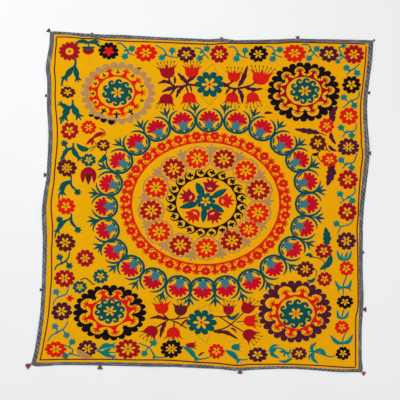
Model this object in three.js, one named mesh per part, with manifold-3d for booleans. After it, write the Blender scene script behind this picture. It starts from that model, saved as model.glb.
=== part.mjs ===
// A square embroidered cover, lying face up: ground cloth, four lengths of woven edging
// and the small yarn tassels sewn to its rim. Millimetres, +Z up, origin on the surface
// that the cover lies on, under the middle of its outline. +Y is the top of the cover.

import * as THREE from 'three';
import { mergeVertices } from 'three/addons/utils/BufferGeometryUtils.js';
import Module from 'manifold-3d';

// Driving dimensions
const CLOTH_THICKNESS = 2;
const EDGING_THICKNESS = 3;
const SEAM_GAP = 0.3;
const CELLS = 30;

// A tassel's head: its depth out from the edge, its rise over the cloth's underside, how
// far it reaches past its outer locks, and how much fuller than round its shoulder is
const HEAD_DEPTH = 7;
const HEAD_RISE = 4;
const HEAD_MARGIN = 1;
const HEAD_SHOULDER = 1.33;
const HEAD_SEGMENTS = 10;
const HEAD_RINGS = 4;

// A tassel's locks. The tip is a share of the root's section, the bend is in radians, and
// each lock is shorter than the longest by up to the uneven share.
const LOCK_WIDTH = 2.3;
const LOCK_HEIGHT = 2.4;
const LOCK_PITCH = 2.75;
const LOCK_TIP = 0.55;
const LOCK_ROOT_DEPTH = 2.5;
const LOCK_CELLS = 2;
const LOCK_BEND = 0.16;
const LOCK_UNEVEN = 0.18;
const LOCK_SWAY_STEP = 2.4;

const CORNER_ROUNDS = 12;
const MERGE_DISTANCE = 1e-6;

// Outline of the edging, one row for each station of a side. at: place along the side,
// X on the top and bottom and Y on the left and right. edge: the outer edge there.
// band: the width of the edging.
const LEFT_SIDE = [
  { at: -1072, edge: -1117, band: 30 },
  { at: -1040, edge: -1106, band: 29 },
  { at: -957, edge: -1087, band: 28 },
  { at: -812, edge: -1063, band: 27 },
  { at: -647, edge: -1049, band: 26 },
  { at: -449, edge: -1041, band: 27 },
  { at: -251, edge: -1038, band: 29 },
  { at: -46, edge: -1041, band: 28 },
  { at: 53, edge: -1032, band: 28 },
  { at: 158, edge: -1014, band: 27 },
  { at: 277, edge: -1007, band: 28 },
  { at: 449, edge: -999, band: 27 },
  { at: 627, edge: -1010, band: 29 },
  { at: 805, edge: -1008, band: 27 },
  { at: 878, edge: -1016, band: 28 },
  { at: 964, edge: -1007, band: 30 },
  { at: 1036, edge: -995, band: 29 },
  { at: 1126, edge: -990, band: 26 },
];
const TOP_SIDE = [
  { at: -990, edge: 1124, band: 21 },
  { at: -957, edge: 1126, band: 20 },
  { at: -858, edge: 1120, band: 18 },
  { at: -752, edge: 1112, band: 23 },
  { at: -607, edge: 1104, band: 24 },
  { at: -462, edge: 1100, band: 23 },
  { at: -297, edge: 1090, band: 19 },
  { at: -66, edge: 1080, band: 19 },
  { at: 66, edge: 1074, band: 18 },
  { at: 145, edge: 1077, band: 22 },
  { at: 244, edge: 1069, band: 18 },
  { at: 528, edge: 1074, band: 19 },
  { at: 627, edge: 1077, band: 19 },
  { at: 904, edge: 1073, band: 18 },
  { at: 1082, edge: 1069, band: 21 },
  { at: 1146, edge: 1067, band: 24 },
];
const RIGHT_SIDE = [
  { at: -1126, edge: 1070, band: 30 },
  { at: -1092, edge: 1074, band: 28 },
  { at: -1036, edge: 1068, band: 22 },
  { at: -950, edge: 1067, band: 21 },
  { at: -832, edge: 1068, band: 22 },
  { at: -673, edge: 1077, band: 27 },
  { at: -436, edge: 1074, band: 25 },
  { at: -185, edge: 1075, band: 24 },
  { at: -40, edge: 1082, band: 28 },
  { at: 119, edge: 1099, band: 31 },
  { at: 211, edge: 1110, band: 31 },
  { at: 297, edge: 1116, band: 31 },
  { at: 389, edge: 1115, band: 30 },
  { at: 515, edge: 1107, band: 28 },
  { at: 607, edge: 1103, band: 26 },
  { at: 693, edge: 1106, band: 26 },
  { at: 772, edge: 1115, band: 27 },
  { at: 937, edge: 1133, band: 28 },
  { at: 1067, edge: 1146, band: 32 },
];
const BOTTOM_SIDE = [
  { at: -1116, edge: -1072, band: 26 },
  { at: -1085, edge: -1085, band: 26 },
  { at: -924, edge: -1077, band: 20 },
  { at: -759, edge: -1078, band: 21 },
  { at: -627, edge: -1080, band: 23 },
  { at: -462, edge: -1084, band: 24 },
  { at: -297, edge: -1086, band: 23 },
  { at: -132, edge: -1091, band: 22 },
  { at: 0, edge: -1097, band: 23 },
  { at: 119, edge: -1102, band: 19 },
  { at: 244, edge: -1112, band: 20 },
  { at: 363, edge: -1107, band: 18 },
  { at: 515, edge: -1102, band: 18 },
  { at: 640, edge: -1103, band: 17 },
  { at: 759, edge: -1111, band: 17 },
  { at: 878, edge: -1120, band: 17 },
  { at: 1043, edge: -1124, band: 21 },
  { at: 1070, edge: -1125, band: 24 },
];

// Soft low folds where the cloth stands off the surface. x, y: middle. run: direction of
// the crest in degrees from +X. long, wide: half length and half width. lift: height.
const FOLDS = [
  { x: -975, y: 868, run: 4, long: 260, wide: 120, lift: 7 },
  { x: -960, y: 430, run: -8, long: 300, wide: 140, lift: 6 },
  { x: -985, y: -95, run: 6, long: 330, wide: 150, lift: 7 },
  { x: -1010, y: -835, run: 28, long: 300, wide: 120, lift: 8 },
  { x: -330, y: -1030, run: 97, long: 260, wide: 130, lift: 5 },
  { x: 250, y: -1050, run: 84, long: 280, wide: 120, lift: 7 },
  { x: 905, y: -1050, run: 112, long: 260, wide: 115, lift: 6 },
  { x: 1020, y: -600, run: -6, long: 260, wide: 120, lift: 6 },
  { x: 1060, y: 330, run: 3, long: 330, wide: 135, lift: 8 },
  { x: 1075, y: 900, run: 34, long: 280, wide: 105, lift: 8 },
  { x: 140, y: 1020, run: 93, long: 240, wide: 110, lift: 6 },
  { x: -560, y: 1040, run: 82, long: 250, wide: 115, lift: 5 },
  { x: 620, y: 1020, run: 100, long: 230, wide: 120, lift: 5 },
  { x: -765, y: 60, run: 88, long: 420, wide: 75, lift: 4 },
  { x: 855, y: -60, run: 86, long: 430, wide: 75, lift: 4 },
  { x: 260, y: -430, run: 22, long: 440, wide: 140, lift: 4 },
  { x: -290, y: 500, run: -14, long: 460, wide: 150, lift: 4 },
];

// Tassels, clockwise from the lower left corner. side and at place the root on the outer
// edge, and a row with a corner in place of at roots there. heading: degrees from +X.
// reach: edge to the longest tip. locks: how many. fan: degrees between the outer locks.
const TASSELS = [
  { name: 'left_low', side: 'left', at: -579, heading: 184, reach: 14, locks: 6, fan: 44, tone: 'rose' },
  { name: 'left_mid', side: 'left', at: 178, heading: 176, reach: 22, locks: 7, fan: 40, tone: 'rose' },
  { name: 'left_high', side: 'left', at: 702, heading: 180, reach: 14, locks: 6, fan: 46, tone: 'plum' },
  { name: 'corner_tl', corner: 'topLeft', heading: 141, reach: 23.4, locks: 7, fan: 38, tone: 'rose' },
  { name: 'top_left', side: 'top', at: -713, heading: 96, reach: 9, locks: 5, fan: 40, tone: 'plum' },
  { name: 'top_mid', side: 'top', at: 142, heading: 84, reach: 12, locks: 5, fan: 44, tone: 'rose' },
  { name: 'top_right', side: 'top', at: 645, heading: 92, reach: 19, locks: 6, fan: 46, tone: 'rose' },
  { name: 'corner_tr', corner: 'topRight', heading: 20, reach: 10, locks: 5, fan: 60, tone: 'plum' },
  { name: 'right_high', side: 'right', at: 721, heading: 4, reach: 16, locks: 6, fan: 40, tone: 'plum' },
  { name: 'right_mid', side: 'right', at: 322, heading: -6, reach: 15, locks: 7, fan: 48, tone: 'rose' },
  { name: 'right_low', side: 'right', at: -333, heading: 2, reach: 11, locks: 6, fan: 42, tone: 'olive' },
  { name: 'right_foot', side: 'right', at: -709, heading: -4, reach: 26, locks: 7, fan: 44, tone: 'rose' },
  { name: 'corner_br', corner: 'bottomRight', heading: -30, reach: 24.5, locks: 7, fan: 34, tone: 'crimson' },
  { name: 'bottom_right', side: 'bottom', at: 265, heading: -94, reach: 25, locks: 8, fan: 40, tone: 'crimson' },
  { name: 'bottom_left', side: 'bottom', at: -660, heading: -88, reach: 29, locks: 8, fan: 42, tone: 'brown' },
  { name: 'corner_bl', corner: 'bottomLeft', heading: 207, reach: 39.2, locks: 7, fan: 30, tone: 'crimson' },
];

// Finishes
const fabric = (color, roughness) => new THREE.MeshStandardMaterial({ color, roughness, metalness: 0 });
const FINISH = {
  ground: fabric(0xe3a51a, 0.85),
  edging: fabric(0x6b6470, 0.9),
  rose: fabric(0x8f3c4a, 0.9),
  plum: fabric(0x552030, 0.9),
  crimson: fabric(0xb02445, 0.9),
  brown: fabric(0x7b4a48, 0.9),
  olive: fabric(0x6a5a30, 0.9),
};

// Smooth curve through the stations of a side
function slope(rows, key, i) {
  const before = rows[Math.max(i - 1, 0)];
  const after = rows[Math.min(i + 1, rows.length - 1)];
  return (after[key] - before[key]) / (after.at - before.at);
}

function sample(rows, key, at) {
  let i = 0;
  while (i < rows.length - 2 && at > rows[i + 1].at) i += 1;
  const span = rows[i + 1].at - rows[i].at;
  const t = THREE.MathUtils.clamp((at - rows[i].at) / span, 0, 1);
  const rest = 1 - t;
  const start = rows[i][key] * (1 + 2 * t) * rest * rest;
  const end = rows[i + 1][key] * (3 - 2 * t) * t * t;
  const bend = span * t * rest * (slope(rows, key, i) * rest - slope(rows, key, i + 1) * t);
  return start + end + bend;
}

// A side's rows, the axis it runs along, and the sign of its outward direction
const SIDES = {
  left: { rows: LEFT_SIDE, axis: 'y', out: -1 },
  top: { rows: TOP_SIDE, axis: 'x', out: 1 },
  right: { rows: RIGHT_SIDE, axis: 'y', out: 1 },
  bottom: { rows: BOTTOM_SIDE, axis: 'x', out: -1 },
};

// Three lines round the cover, each as its depth inside the outer edge
const RIM = () => 0;
const SEAM = (side, at) => sample(side.rows, 'band', at);
const CLOTH = (side, at) => SEAM(side, at) + SEAM_GAP;

function across(side, at, depth) {
  return sample(side.rows, 'edge', at) - side.out * depth(side, at);
}

function pointOn(side, at, depth) {
  const off = across(side, at, depth);
  return side.axis === 'x' ? new THREE.Vector2(at, off) : new THREE.Vector2(off, at);
}

function meet(upright, level, depth) {
  const corner = new THREE.Vector2(upright.rows[0].edge, level.rows[0].edge);
  for (let round = 0; round < CORNER_ROUNDS; round += 1) {
    corner.x = across(upright, corner.y, depth);
    corner.y = across(level, corner.x, depth);
  }
  return corner;
}

function corners(depth) {
  return {
    bottomLeft: meet(SIDES.left, SIDES.bottom, depth),
    topLeft: meet(SIDES.left, SIDES.top, depth),
    topRight: meet(SIDES.right, SIDES.top, depth),
    bottomRight: meet(SIDES.right, SIDES.bottom, depth),
  };
}

// Clockwise order of the corners, so that a side's outward direction is on its left
const ORDER = {
  left: ['bottomLeft', 'topLeft'],
  top: ['topLeft', 'topRight'],
  right: ['topRight', 'bottomRight'],
  bottom: ['bottomRight', 'bottomLeft'],
};

function sidePoint(name, depth, found, share, trim = 0) {
  const side = SIDES[name];
  const start = found[ORDER[name][0]][side.axis];
  const end = found[ORDER[name][1]][side.axis];
  const way = Math.sign(end - start);
  const at = THREE.MathUtils.lerp(start + way * trim, end - way * trim, share);
  return pointOn(side, at, depth);
}

// Height of the cloth's underside over the surface
function lift(x, y) {
  let height = 0;
  for (const fold of FOLDS) {
    const run = THREE.MathUtils.degToRad(fold.run);
    const along = ((x - fold.x) * Math.cos(run) + (y - fold.y) * Math.sin(run)) / fold.long;
    const beside = ((y - fold.y) * Math.cos(run) - (x - fold.x) * Math.sin(run)) / fold.wide;
    const reach = Math.hypot(along, beside);
    if (reach < 1) height += fold.lift * Math.cos((reach * Math.PI) / 2) ** 2;
  }
  return height;
}

// A unit box with shares from 0 to 1 on each axis, each of its points moved by place()
function mappedBox(cellsX, cellsY, place) {
  const geometry = new THREE.BoxGeometry(1, 1, 1, cellsX, cellsY, 1);
  geometry.translate(0.5, 0.5, 0.5);
  geometry.deleteAttribute('normal');
  geometry.deleteAttribute('uv');
  const merged = mergeVertices(geometry, MERGE_DISTANCE);
  const points = merged.getAttribute('position');
  for (let i = 0; i < points.count; i += 1) {
    const [x, y, z] = place(points.getX(i), points.getY(i), points.getZ(i));
    points.setXYZ(i, x, y, z);
  }
  return merged;
}

// Ground cloth: a grid stretched between the four seam lines
function groundCloth() {
  const found = corners(CLOTH);
  const blend = (a, b, share) => a.clone().lerp(b, share);
  return mappedBox(CELLS, CELLS, (s, t, w) => {
    const left = sidePoint('left', CLOTH, found, t);
    const right = sidePoint('right', CLOTH, found, 1 - t);
    const top = sidePoint('top', CLOTH, found, s);
    const bottom = sidePoint('bottom', CLOTH, found, 1 - s);
    const low = blend(found.bottomLeft, found.bottomRight, s);
    const high = blend(found.topLeft, found.topRight, s);
    const point = blend(left, right, s).add(blend(bottom, top, t)).sub(blend(low, high, t));
    return [point.x, point.y, lift(point.x, point.y) + w * CLOTH_THICKNESS];
  });
}

// Edging: one length for each side, mitred with half a seam gap at each end
const MITRE_TRIM = SEAM_GAP * Math.SQRT1_2;

function edging(name) {
  const rim = corners(RIM);
  const seam = corners(SEAM);
  return mappedBox(CELLS, 1, (s, t, w) => {
    const inner = sidePoint(name, SEAM, seam, s, MITRE_TRIM);
    const outer = sidePoint(name, RIM, rim, s, MITRE_TRIM);
    const point = inner.lerp(outer, t);
    return [point.x, point.y, lift(point.x, point.y) + w * EDGING_THICKNESS];
  });
}

// Where a tassel is sewn on: a point of the edging's outer edge and the way out from it
function rootOf(row) {
  const rim = corners(RIM);
  if (row.corner) {
    const heading = THREE.MathUtils.degToRad(row.heading);
    return { point: rim[row.corner], out: new THREE.Vector2(Math.cos(heading), Math.sin(heading)) };
  }
  const side = SIDES[row.side];
  const start = rim[ORDER[row.side][0]][side.axis];
  const end = rim[ORDER[row.side][1]][side.axis];
  const cell = ((row.at - start) / (end - start)) * CELLS;
  const before = sidePoint(row.side, RIM, rim, Math.floor(cell) / CELLS, MITRE_TRIM);
  const after = sidePoint(row.side, RIM, rim, Math.ceil(cell) / CELLS, MITRE_TRIM);
  const along = after.clone().sub(before).normalize();
  return {
    point: before.lerp(after, cell - Math.floor(cell)),
    out: new THREE.Vector2(-along.y, along.x),
  };
}

const wasm = await Module();
wasm.setup();

function toSolid(geometry) {
  const mesh = new wasm.Mesh({
    numProp: 3,
    vertProperties: new Float32Array(geometry.getAttribute('position').array),
    triVerts: new Uint32Array(geometry.index.array),
  });
  return new wasm.Manifold(mesh);
}

function toGeometry(solid) {
  const mesh = solid.getMesh();
  const geometry = new THREE.BufferGeometry();
  geometry.setAttribute('position', new THREE.BufferAttribute(mesh.vertProperties, 3));
  geometry.setIndex(new THREE.BufferAttribute(mesh.triVerts, 1));
  return geometry;
}

// Tassel head: a low bound knot, flat below, as wide as its locks side by side
function head(row, root) {
  const geometry = new THREE.SphereGeometry(1, HEAD_SEGMENTS, HEAD_RINGS);
  geometry.rotateX(Math.PI / 2);
  geometry.deleteAttribute('normal');
  geometry.deleteAttribute('uv');
  const merged = mergeVertices(geometry, MERGE_DISTANCE);
  const points = merged.getAttribute('position');
  const halfWidth = (row.locks * LOCK_PITCH) / 2 + HEAD_MARGIN;
  const halfDepth = HEAD_DEPTH / 2;
  const height = lift(root.point.x, root.point.y) + HEAD_RISE;
  const middle = root.point.clone().addScaledVector(root.out, halfDepth + SEAM_GAP);
  for (let i = 0; i < points.count; i += 1) {
    const fullness = points.getZ(i) > MERGE_DISTANCE ? HEAD_SHOULDER : 1;
    const beside = points.getX(i) * halfWidth * fullness;
    const outward = points.getY(i) * halfDepth * fullness;
    const x = middle.x + root.out.x * outward + root.out.y * beside;
    const y = middle.y + root.out.y * outward - root.out.x * beside;
    points.setXYZ(i, x, y, Math.max(points.getZ(i), 0) * height);
  }
  return toSolid(merged);
}

// One lock: a four-sided strand, flat on the surface, with a slight bend at its middle
function lock(row, root, index) {
  const place = index - (row.locks - 1) / 2;
  const sway = Math.sin(index * LOCK_SWAY_STEP + row.reach);
  const angle = THREE.MathUtils.degToRad(row.heading - (place * row.fan) / (row.locks - 1));
  const rootDepth = HEAD_DEPTH + SEAM_GAP - LOCK_ROOT_DEPTH;
  const length = (row.reach - rootDepth) * (1 - LOCK_UNEVEN * (0.5 + 0.5 * sway));
  const middle = root.point.clone().addScaledVector(root.out, rootDepth);
  const startX = middle.x + root.out.y * place * LOCK_PITCH;
  const startY = middle.y - root.out.x * place * LOCK_PITCH;
  const geometry = mappedBox(LOCK_CELLS, 1, (s, t, w) => {
    const turned = angle + LOCK_BEND * sway * s;
    const far = s * length;
    const taper = 1 - (1 - LOCK_TIP) * s * s;
    const beside = (t - 0.5) * LOCK_WIDTH * taper;
    const x = startX + Math.cos(turned) * far - Math.sin(turned) * beside;
    const y = startY + Math.sin(turned) * far + Math.cos(turned) * beside;
    return [x, y, w * LOCK_HEIGHT * taper];
  });
  return toSolid(geometry);
}

function tassel(row) {
  const root = rootOf(row);
  let solid = head(row, root);
  for (let index = 0; index < row.locks; index += 1) {
    solid = solid.add(lock(row, root, index));
  }
  return toGeometry(solid);
}

// The whole cover
const suzani = new THREE.Group();

function addPiece(name, geometry, finish) {
  const mesh = new THREE.Mesh(geometry, finish);
  mesh.name = name;
  suzani.add(mesh);
}

addPiece('ground_cloth', groundCloth(), FINISH.ground);
for (const name of Object.keys(SIDES)) {
  addPiece(`edging_${name}`, edging(name), FINISH.edging);
}
for (const row of TASSELS) {
  addPiece(`tassel_${row.name}`, tassel(row), FINISH[row.tone]);
}

export default suzani;
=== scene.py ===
"""A square embroidered cover, lying face up.

Metres, +Z up, origin on the surface that the cover lies on, +Y the top of the cover. The
pattern is placed on squared chart paper, and every stitched patch is a low closed form
that follows the cloth.
"""

import logging
import math
from dataclasses import dataclass, field
from enum import Enum

import bpy
import numpy as np
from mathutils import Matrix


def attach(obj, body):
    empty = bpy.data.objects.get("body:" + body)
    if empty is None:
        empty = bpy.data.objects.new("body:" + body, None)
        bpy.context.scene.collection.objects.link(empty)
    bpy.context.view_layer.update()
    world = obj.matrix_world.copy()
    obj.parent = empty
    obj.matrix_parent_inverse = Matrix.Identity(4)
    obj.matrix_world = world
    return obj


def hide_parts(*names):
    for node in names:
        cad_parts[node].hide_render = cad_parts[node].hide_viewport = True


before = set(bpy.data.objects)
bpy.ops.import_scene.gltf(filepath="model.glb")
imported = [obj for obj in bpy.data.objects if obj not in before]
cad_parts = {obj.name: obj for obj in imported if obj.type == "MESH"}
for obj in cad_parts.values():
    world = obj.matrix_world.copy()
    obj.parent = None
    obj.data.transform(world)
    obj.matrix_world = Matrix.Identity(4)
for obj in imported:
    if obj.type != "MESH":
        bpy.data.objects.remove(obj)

Array = np.ndarray
Material = bpy.types.Material
Node = bpy.types.Node
Piece = bpy.types.Object
Socket = bpy.types.NodeSocket
Tree = bpy.types.ShaderNodeTree

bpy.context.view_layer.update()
LOG = logging.getLogger("cover")
BODY = "root"
TURN = 2 * math.pi


def paint(red: int, green: int, blue: int) -> tuple[float, float, float, float]:
    """Turn a screen colour into the linear colour that a shader takes.

    Args:
        red: 0 to 255.
        green: 0 to 255.
        blue: 0 to 255.

    Returns:
        Red, green, blue and alpha, linear.
    """
    knee, toe, lift, power = 0.04045, 12.92, 0.055, 2.4
    linear = []
    for value in (red / 255, green / 255, blue / 255):
        curved = ((value + lift) / (1 + lift)) ** power
        linear.append(value / toe if value <= knee else curved)
    return (linear[0], linear[1], linear[2], 1.0)


class Thread(Enum):
    """The silks of the embroidery: the record's slot, the thread's colour and its deep colour, which is
    painted shade in the grooves between strands and at the ties as well as the random tone of some strands.
    """

    RED = ("thread_red", (222, 26, 12), (170, 10, 6))
    CRIMSON = ("thread_crimson", (166, 8, 30), (114, 4, 20))
    CERISE = ("thread_crimson", (202, 6, 34), (146, 3, 24))
    MAROON = ("thread_maroon", (94, 24, 34), (58, 10, 20))
    PURPLE = ("thread_purple", (78, 23, 50), (42, 9, 32))
    BLACK = ("thread_black", (18, 8, 18), (5, 2, 6))
    TEAL = ("thread_teal", (0, 84, 82), (0, 50, 56))
    GREEN = ("thread_green", (8, 126, 114), (4, 86, 84))
    OLIVE = ("thread_olive", (92, 106, 30), (58, 66, 20))
    BLUE = ("thread_blue", (62, 122, 130), (38, 94, 104))
    YELLOW = ("thread_yellow", (240, 214, 110), (206, 160, 60))
    MAUVE = ("thread_mauve", (186, 138, 84), (154, 108, 68))

    @property
    def slot(self) -> str:
        """Name of the record's slot for this thread."""
        return self.value[0]

    @property
    def label(self) -> str:
        """Short lower-case name for piece names."""
        return self.name.lower()


RED, CRIMSON, CERISE, MAROON, PURPLE, BLACK, TEAL, GREEN, OLIVE, BLUE, YELLOW, MAUVE = Thread


@dataclass(frozen=True)
class Chart:
    """Squared paper for the pattern, x to the right and y down.

    Attributes:
        square: side of a square, metres.
        middle_x: chart x over the middle of the cover.
        middle_y: chart y over the middle of the cover.
    """

    square: float = 0.0066
    middle_x: float = 200.0
    middle_y: float = 202.0

    def place(self, points: Array) -> Array:
        """Turn chart positions into metres.

        Args:
            points: positions, the last axis x and y.

        Returns:
            The same positions in metres, y upwards.
        """
        x = (points[..., 0] - self.middle_x) * self.square
        y = (self.middle_y - points[..., 1]) * self.square
        return np.stack((x, y), axis=-1)


CHART = Chart()


@dataclass(frozen=True)
class Fold:
    """A soft low fold: its middle, run in degrees from +X, half sizes and height."""

    x: float
    y: float
    run: float
    long: float
    wide: float
    lift: float


@dataclass(frozen=True)
class Relief:
    """How far the cloth stands off the surface.

    Attributes:
        folds: the low folds.
        pucker: height of the small puckers that the stitching draws up.
        ripples: wavelength, direction in radians and phase of each pucker wave.
    """

    folds: tuple[Fold, ...] = (
        Fold(-0.975, 0.868, 4, 0.260, 0.120, 0.007),
        Fold(-0.960, 0.430, -8, 0.300, 0.140, 0.006),
        Fold(-0.985, -0.095, 6, 0.330, 0.150, 0.007),
        Fold(-1.010, -0.835, 28, 0.300, 0.120, 0.008),
        Fold(-0.330, -1.030, 97, 0.260, 0.130, 0.005),
        Fold(0.250, -1.050, 84, 0.280, 0.120, 0.007),
        Fold(0.905, -1.050, 112, 0.260, 0.115, 0.006),
        Fold(1.020, -0.600, -6, 0.260, 0.120, 0.006),
        Fold(1.060, 0.330, 3, 0.330, 0.135, 0.008),
        Fold(1.075, 0.900, 34, 0.280, 0.105, 0.008),
        Fold(0.140, 1.020, 93, 0.240, 0.110, 0.006),
        Fold(-0.560, 1.040, 82, 0.250, 0.115, 0.005),
        Fold(0.620, 1.020, 100, 0.230, 0.120, 0.005),
        Fold(-0.765, 0.060, 88, 0.420, 0.075, 0.004),
        Fold(0.855, -0.060, 86, 0.430, 0.075, 0.004),
        Fold(0.260, -0.430, 22, 0.440, 0.140, 0.004),
        Fold(-0.290, 0.500, -14, 0.460, 0.150, 0.004),
    )
    pucker: float = 0.0007
    ripples: tuple[tuple[float, float, float], ...] = (
        (0.083, 0.4, 0.3),
        (0.061, 1.9, 1.7),
        (0.117, 2.7, 4.1),
        (0.047, 1.2, 2.6),
    )

    def height(self, points: Array) -> Array:
        """Height of the cloth's underside.

        Args:
            points: positions in metres, the last axis x and y.

        Returns:
            Height over the surface at each point.
        """
        x, y = points[..., 0], points[..., 1]
        total = np.zeros(x.shape)
        for fold in self.folds:
            run = math.radians(fold.run)
            along = ((x - fold.x) * math.cos(run) + (y - fold.y) * math.sin(run)) / fold.long
            beside = ((y - fold.y) * math.cos(run) - (x - fold.x) * math.sin(run)) / fold.wide
            reach = np.minimum(np.hypot(along, beside), 1.0)
            total += fold.lift * np.cos(reach * math.pi / 2) ** 2
        waves = np.zeros(x.shape)
        for length, way, phase in self.ripples:
            along = x * math.cos(way) + y * math.sin(way)
            beside = y * math.cos(way) - x * math.sin(way)
            bend = np.sin(beside * TURN / (3.7 * length) + 2 * phase)
            waves += np.sin(along * TURN / length + phase + 1.3 * bend)
        share = np.clip(0.5 + 0.5 * waves / len(self.ripples), 0, 1)
        return total + self.pucker * share ** 2


RELIEF = Relief()
CLOTH_THICKNESS = 0.002


@dataclass(frozen=True)
class Side:
    """One side of the outline.

    Attributes:
        axis: 0 where it runs along X, 1 where it runs along Y.
        out: sign of its outward direction.
        stations: place along the side, outer edge and edging width, in the order of their places.
    """

    axis: int
    out: int
    stations: tuple[tuple[float, float, float], ...]

    def sample(self, column: int, at: Array) -> Array:
        """Smooth curve through the stations.

        Args:
            column: 1 for the outer edge, 2 for the edging's width.
            at: places along the side.

        Returns:
            The value at each place.
        """
        place, value = np.array(self.stations)[:, (0, column)].T
        last = len(place) - 1
        before = np.maximum(np.arange(last + 1) - 1, 0)
        after = np.minimum(np.arange(last + 1) + 1, last)
        slope = (value[after] - value[before]) / (place[after] - place[before])
        i = np.clip(np.searchsorted(place, at) - 1, 0, last - 1)
        span = place[i + 1] - place[i]
        t = np.clip((at - place[i]) / span, 0, 1)
        rest = 1 - t
        ends = value[i] * (1 + 2 * t) * rest ** 2 + value[i + 1] * (3 - 2 * t) * t ** 2
        return ends + span * t * rest * (slope[i] * rest - slope[i + 1] * t)

    def point(self, at: Array, share: float, inset: float = 0.0) -> Array:
        """Points of a line along the side.

        Args:
            at: places along the side.
            share: depth from the outer edge as a share of the edging's width.
            inset: further depth, metres.

        Returns:
            Positions, the last axis x and y.
        """
        depth = share * self.sample(2, at) + inset
        off = self.sample(1, at) - self.out * depth
        return np.stack((at, off) if self.axis == 0 else (off, at), axis=-1)


@dataclass(frozen=True)
class Outline:
    """The cover's four sides, clockwise from the left one, and lines inside them."""

    left: Side = Side(1, -1, (
        (-1.072, -1.117, 0.030), (-1.040, -1.106, 0.029), (-0.957, -1.087, 0.028), (-0.812, -1.063, 0.027),
        (-0.647, -1.049, 0.026), (-0.449, -1.041, 0.027), (-0.251, -1.038, 0.029), (-0.046, -1.041, 0.028),
        (0.053, -1.032, 0.028), (0.158, -1.014, 0.027), (0.277, -1.007, 0.028), (0.449, -0.999, 0.027),
        (0.627, -1.010, 0.029), (0.805, -1.008, 0.027), (0.878, -1.016, 0.028), (0.964, -1.007, 0.030),
        (1.036, -0.995, 0.029), (1.126, -0.990, 0.026),
    ))
    top: Side = Side(0, 1, (
        (-0.990, 1.124, 0.021), (-0.957, 1.126, 0.020), (-0.858, 1.120, 0.018), (-0.752, 1.112, 0.023),
        (-0.607, 1.104, 0.024), (-0.462, 1.100, 0.023), (-0.297, 1.090, 0.019), (-0.066, 1.080, 0.019),
        (0.066, 1.074, 0.018), (0.145, 1.077, 0.022), (0.244, 1.069, 0.018), (0.528, 1.074, 0.019),
        (0.627, 1.077, 0.019), (0.904, 1.073, 0.018), (1.082, 1.069, 0.021), (1.146, 1.067, 0.024),
    ))
    right: Side = Side(1, 1, (
        (-1.126, 1.070, 0.030), (-1.092, 1.074, 0.028), (-1.036, 1.068, 0.022), (-0.950, 1.067, 0.021),
        (-0.832, 1.068, 0.022), (-0.673, 1.077, 0.027), (-0.436, 1.074, 0.025), (-0.185, 1.075, 0.024),
        (-0.040, 1.082, 0.028), (0.119, 1.099, 0.031), (0.211, 1.110, 0.031), (0.297, 1.116, 0.031),
        (0.389, 1.115, 0.030), (0.515, 1.107, 0.028), (0.607, 1.103, 0.026), (0.693, 1.106, 0.026),
        (0.772, 1.115, 0.027), (0.937, 1.133, 0.028), (1.067, 1.146, 0.032),
    ))
    bottom: Side = Side(0, -1, (
        (-1.116, -1.072, 0.026), (-1.085, -1.085, 0.026), (-0.924, -1.077, 0.020), (-0.759, -1.078, 0.021),
        (-0.627, -1.080, 0.023), (-0.462, -1.084, 0.024), (-0.297, -1.086, 0.023), (-0.132, -1.091, 0.022),
        (0.0, -1.097, 0.023), (0.119, -1.102, 0.019), (0.244, -1.112, 0.020), (0.363, -1.107, 0.018),
        (0.515, -1.102, 0.018), (0.640, -1.103, 0.017), (0.759, -1.111, 0.017), (0.878, -1.120, 0.017),
        (1.043, -1.124, 0.021), (1.070, -1.125, 0.024),
    ))

    def meet(self, upright: Side, level: Side, share: float, inset: float) -> Array:
        """Corner where the same line of two sides meets.

        Args:
            upright: the side that runs along Y.
            level: the side that runs along X.
            share: depth as a share of the edging's width.
            inset: further depth, metres.

        Returns:
            The corner's x and y.
        """
        corner = np.array([upright.stations[0][1], level.stations[0][1]])
        for _ in range(12):
            corner[0] = upright.point(corner[1], share, inset)[0]
            corner[1] = level.point(corner[0], share, inset)[1]
        return corner

    def corners(self, share: float, inset: float = 0.0) -> dict[str, Array]:
        """The four corners of a line round the cover.

        Args:
            share: depth as a share of the edging's width.
            inset: further depth, metres.

        Returns:
            Corner positions by name.
        """
        return {
            "bottom_left": self.meet(self.left, self.bottom, share, inset),
            "top_left": self.meet(self.left, self.top, share, inset),
            "top_right": self.meet(self.right, self.top, share, inset),
            "bottom_right": self.meet(self.right, self.bottom, share, inset),
        }

    def line(self, name: str, share: float, inset: float, along: Array) -> Array:
        """Points of a line along one side, from corner to corner, clockwise.

        Args:
            name: left, top, right or bottom.
            share: depth as a share of the edging's width.
            inset: further depth, metres.
            along: shares of the way from the first corner to the next.

        Returns:
            Positions, the last axis x and y.
        """
        side = getattr(self, name)
        found = self.corners(share, inset)
        first, last = SIDE_ENDS[name]
        start, end = found[first][side.axis], found[last][side.axis]
        return side.point(start + (end - start) * along, share, inset)


SIDE_ENDS = {
    "left": ("bottom_left", "top_left"),
    "top": ("top_left", "top_right"),
    "right": ("top_right", "bottom_right"),
    "bottom": ("bottom_right", "bottom_left"),
}
OUTLINE = Outline()


def run_along(points: Array) -> Array:
    """Distance along a line at each of its points."""
    return np.concatenate(([0], np.cumsum(np.linalg.norm(np.diff(points, axis=0), axis=1))))


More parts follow.
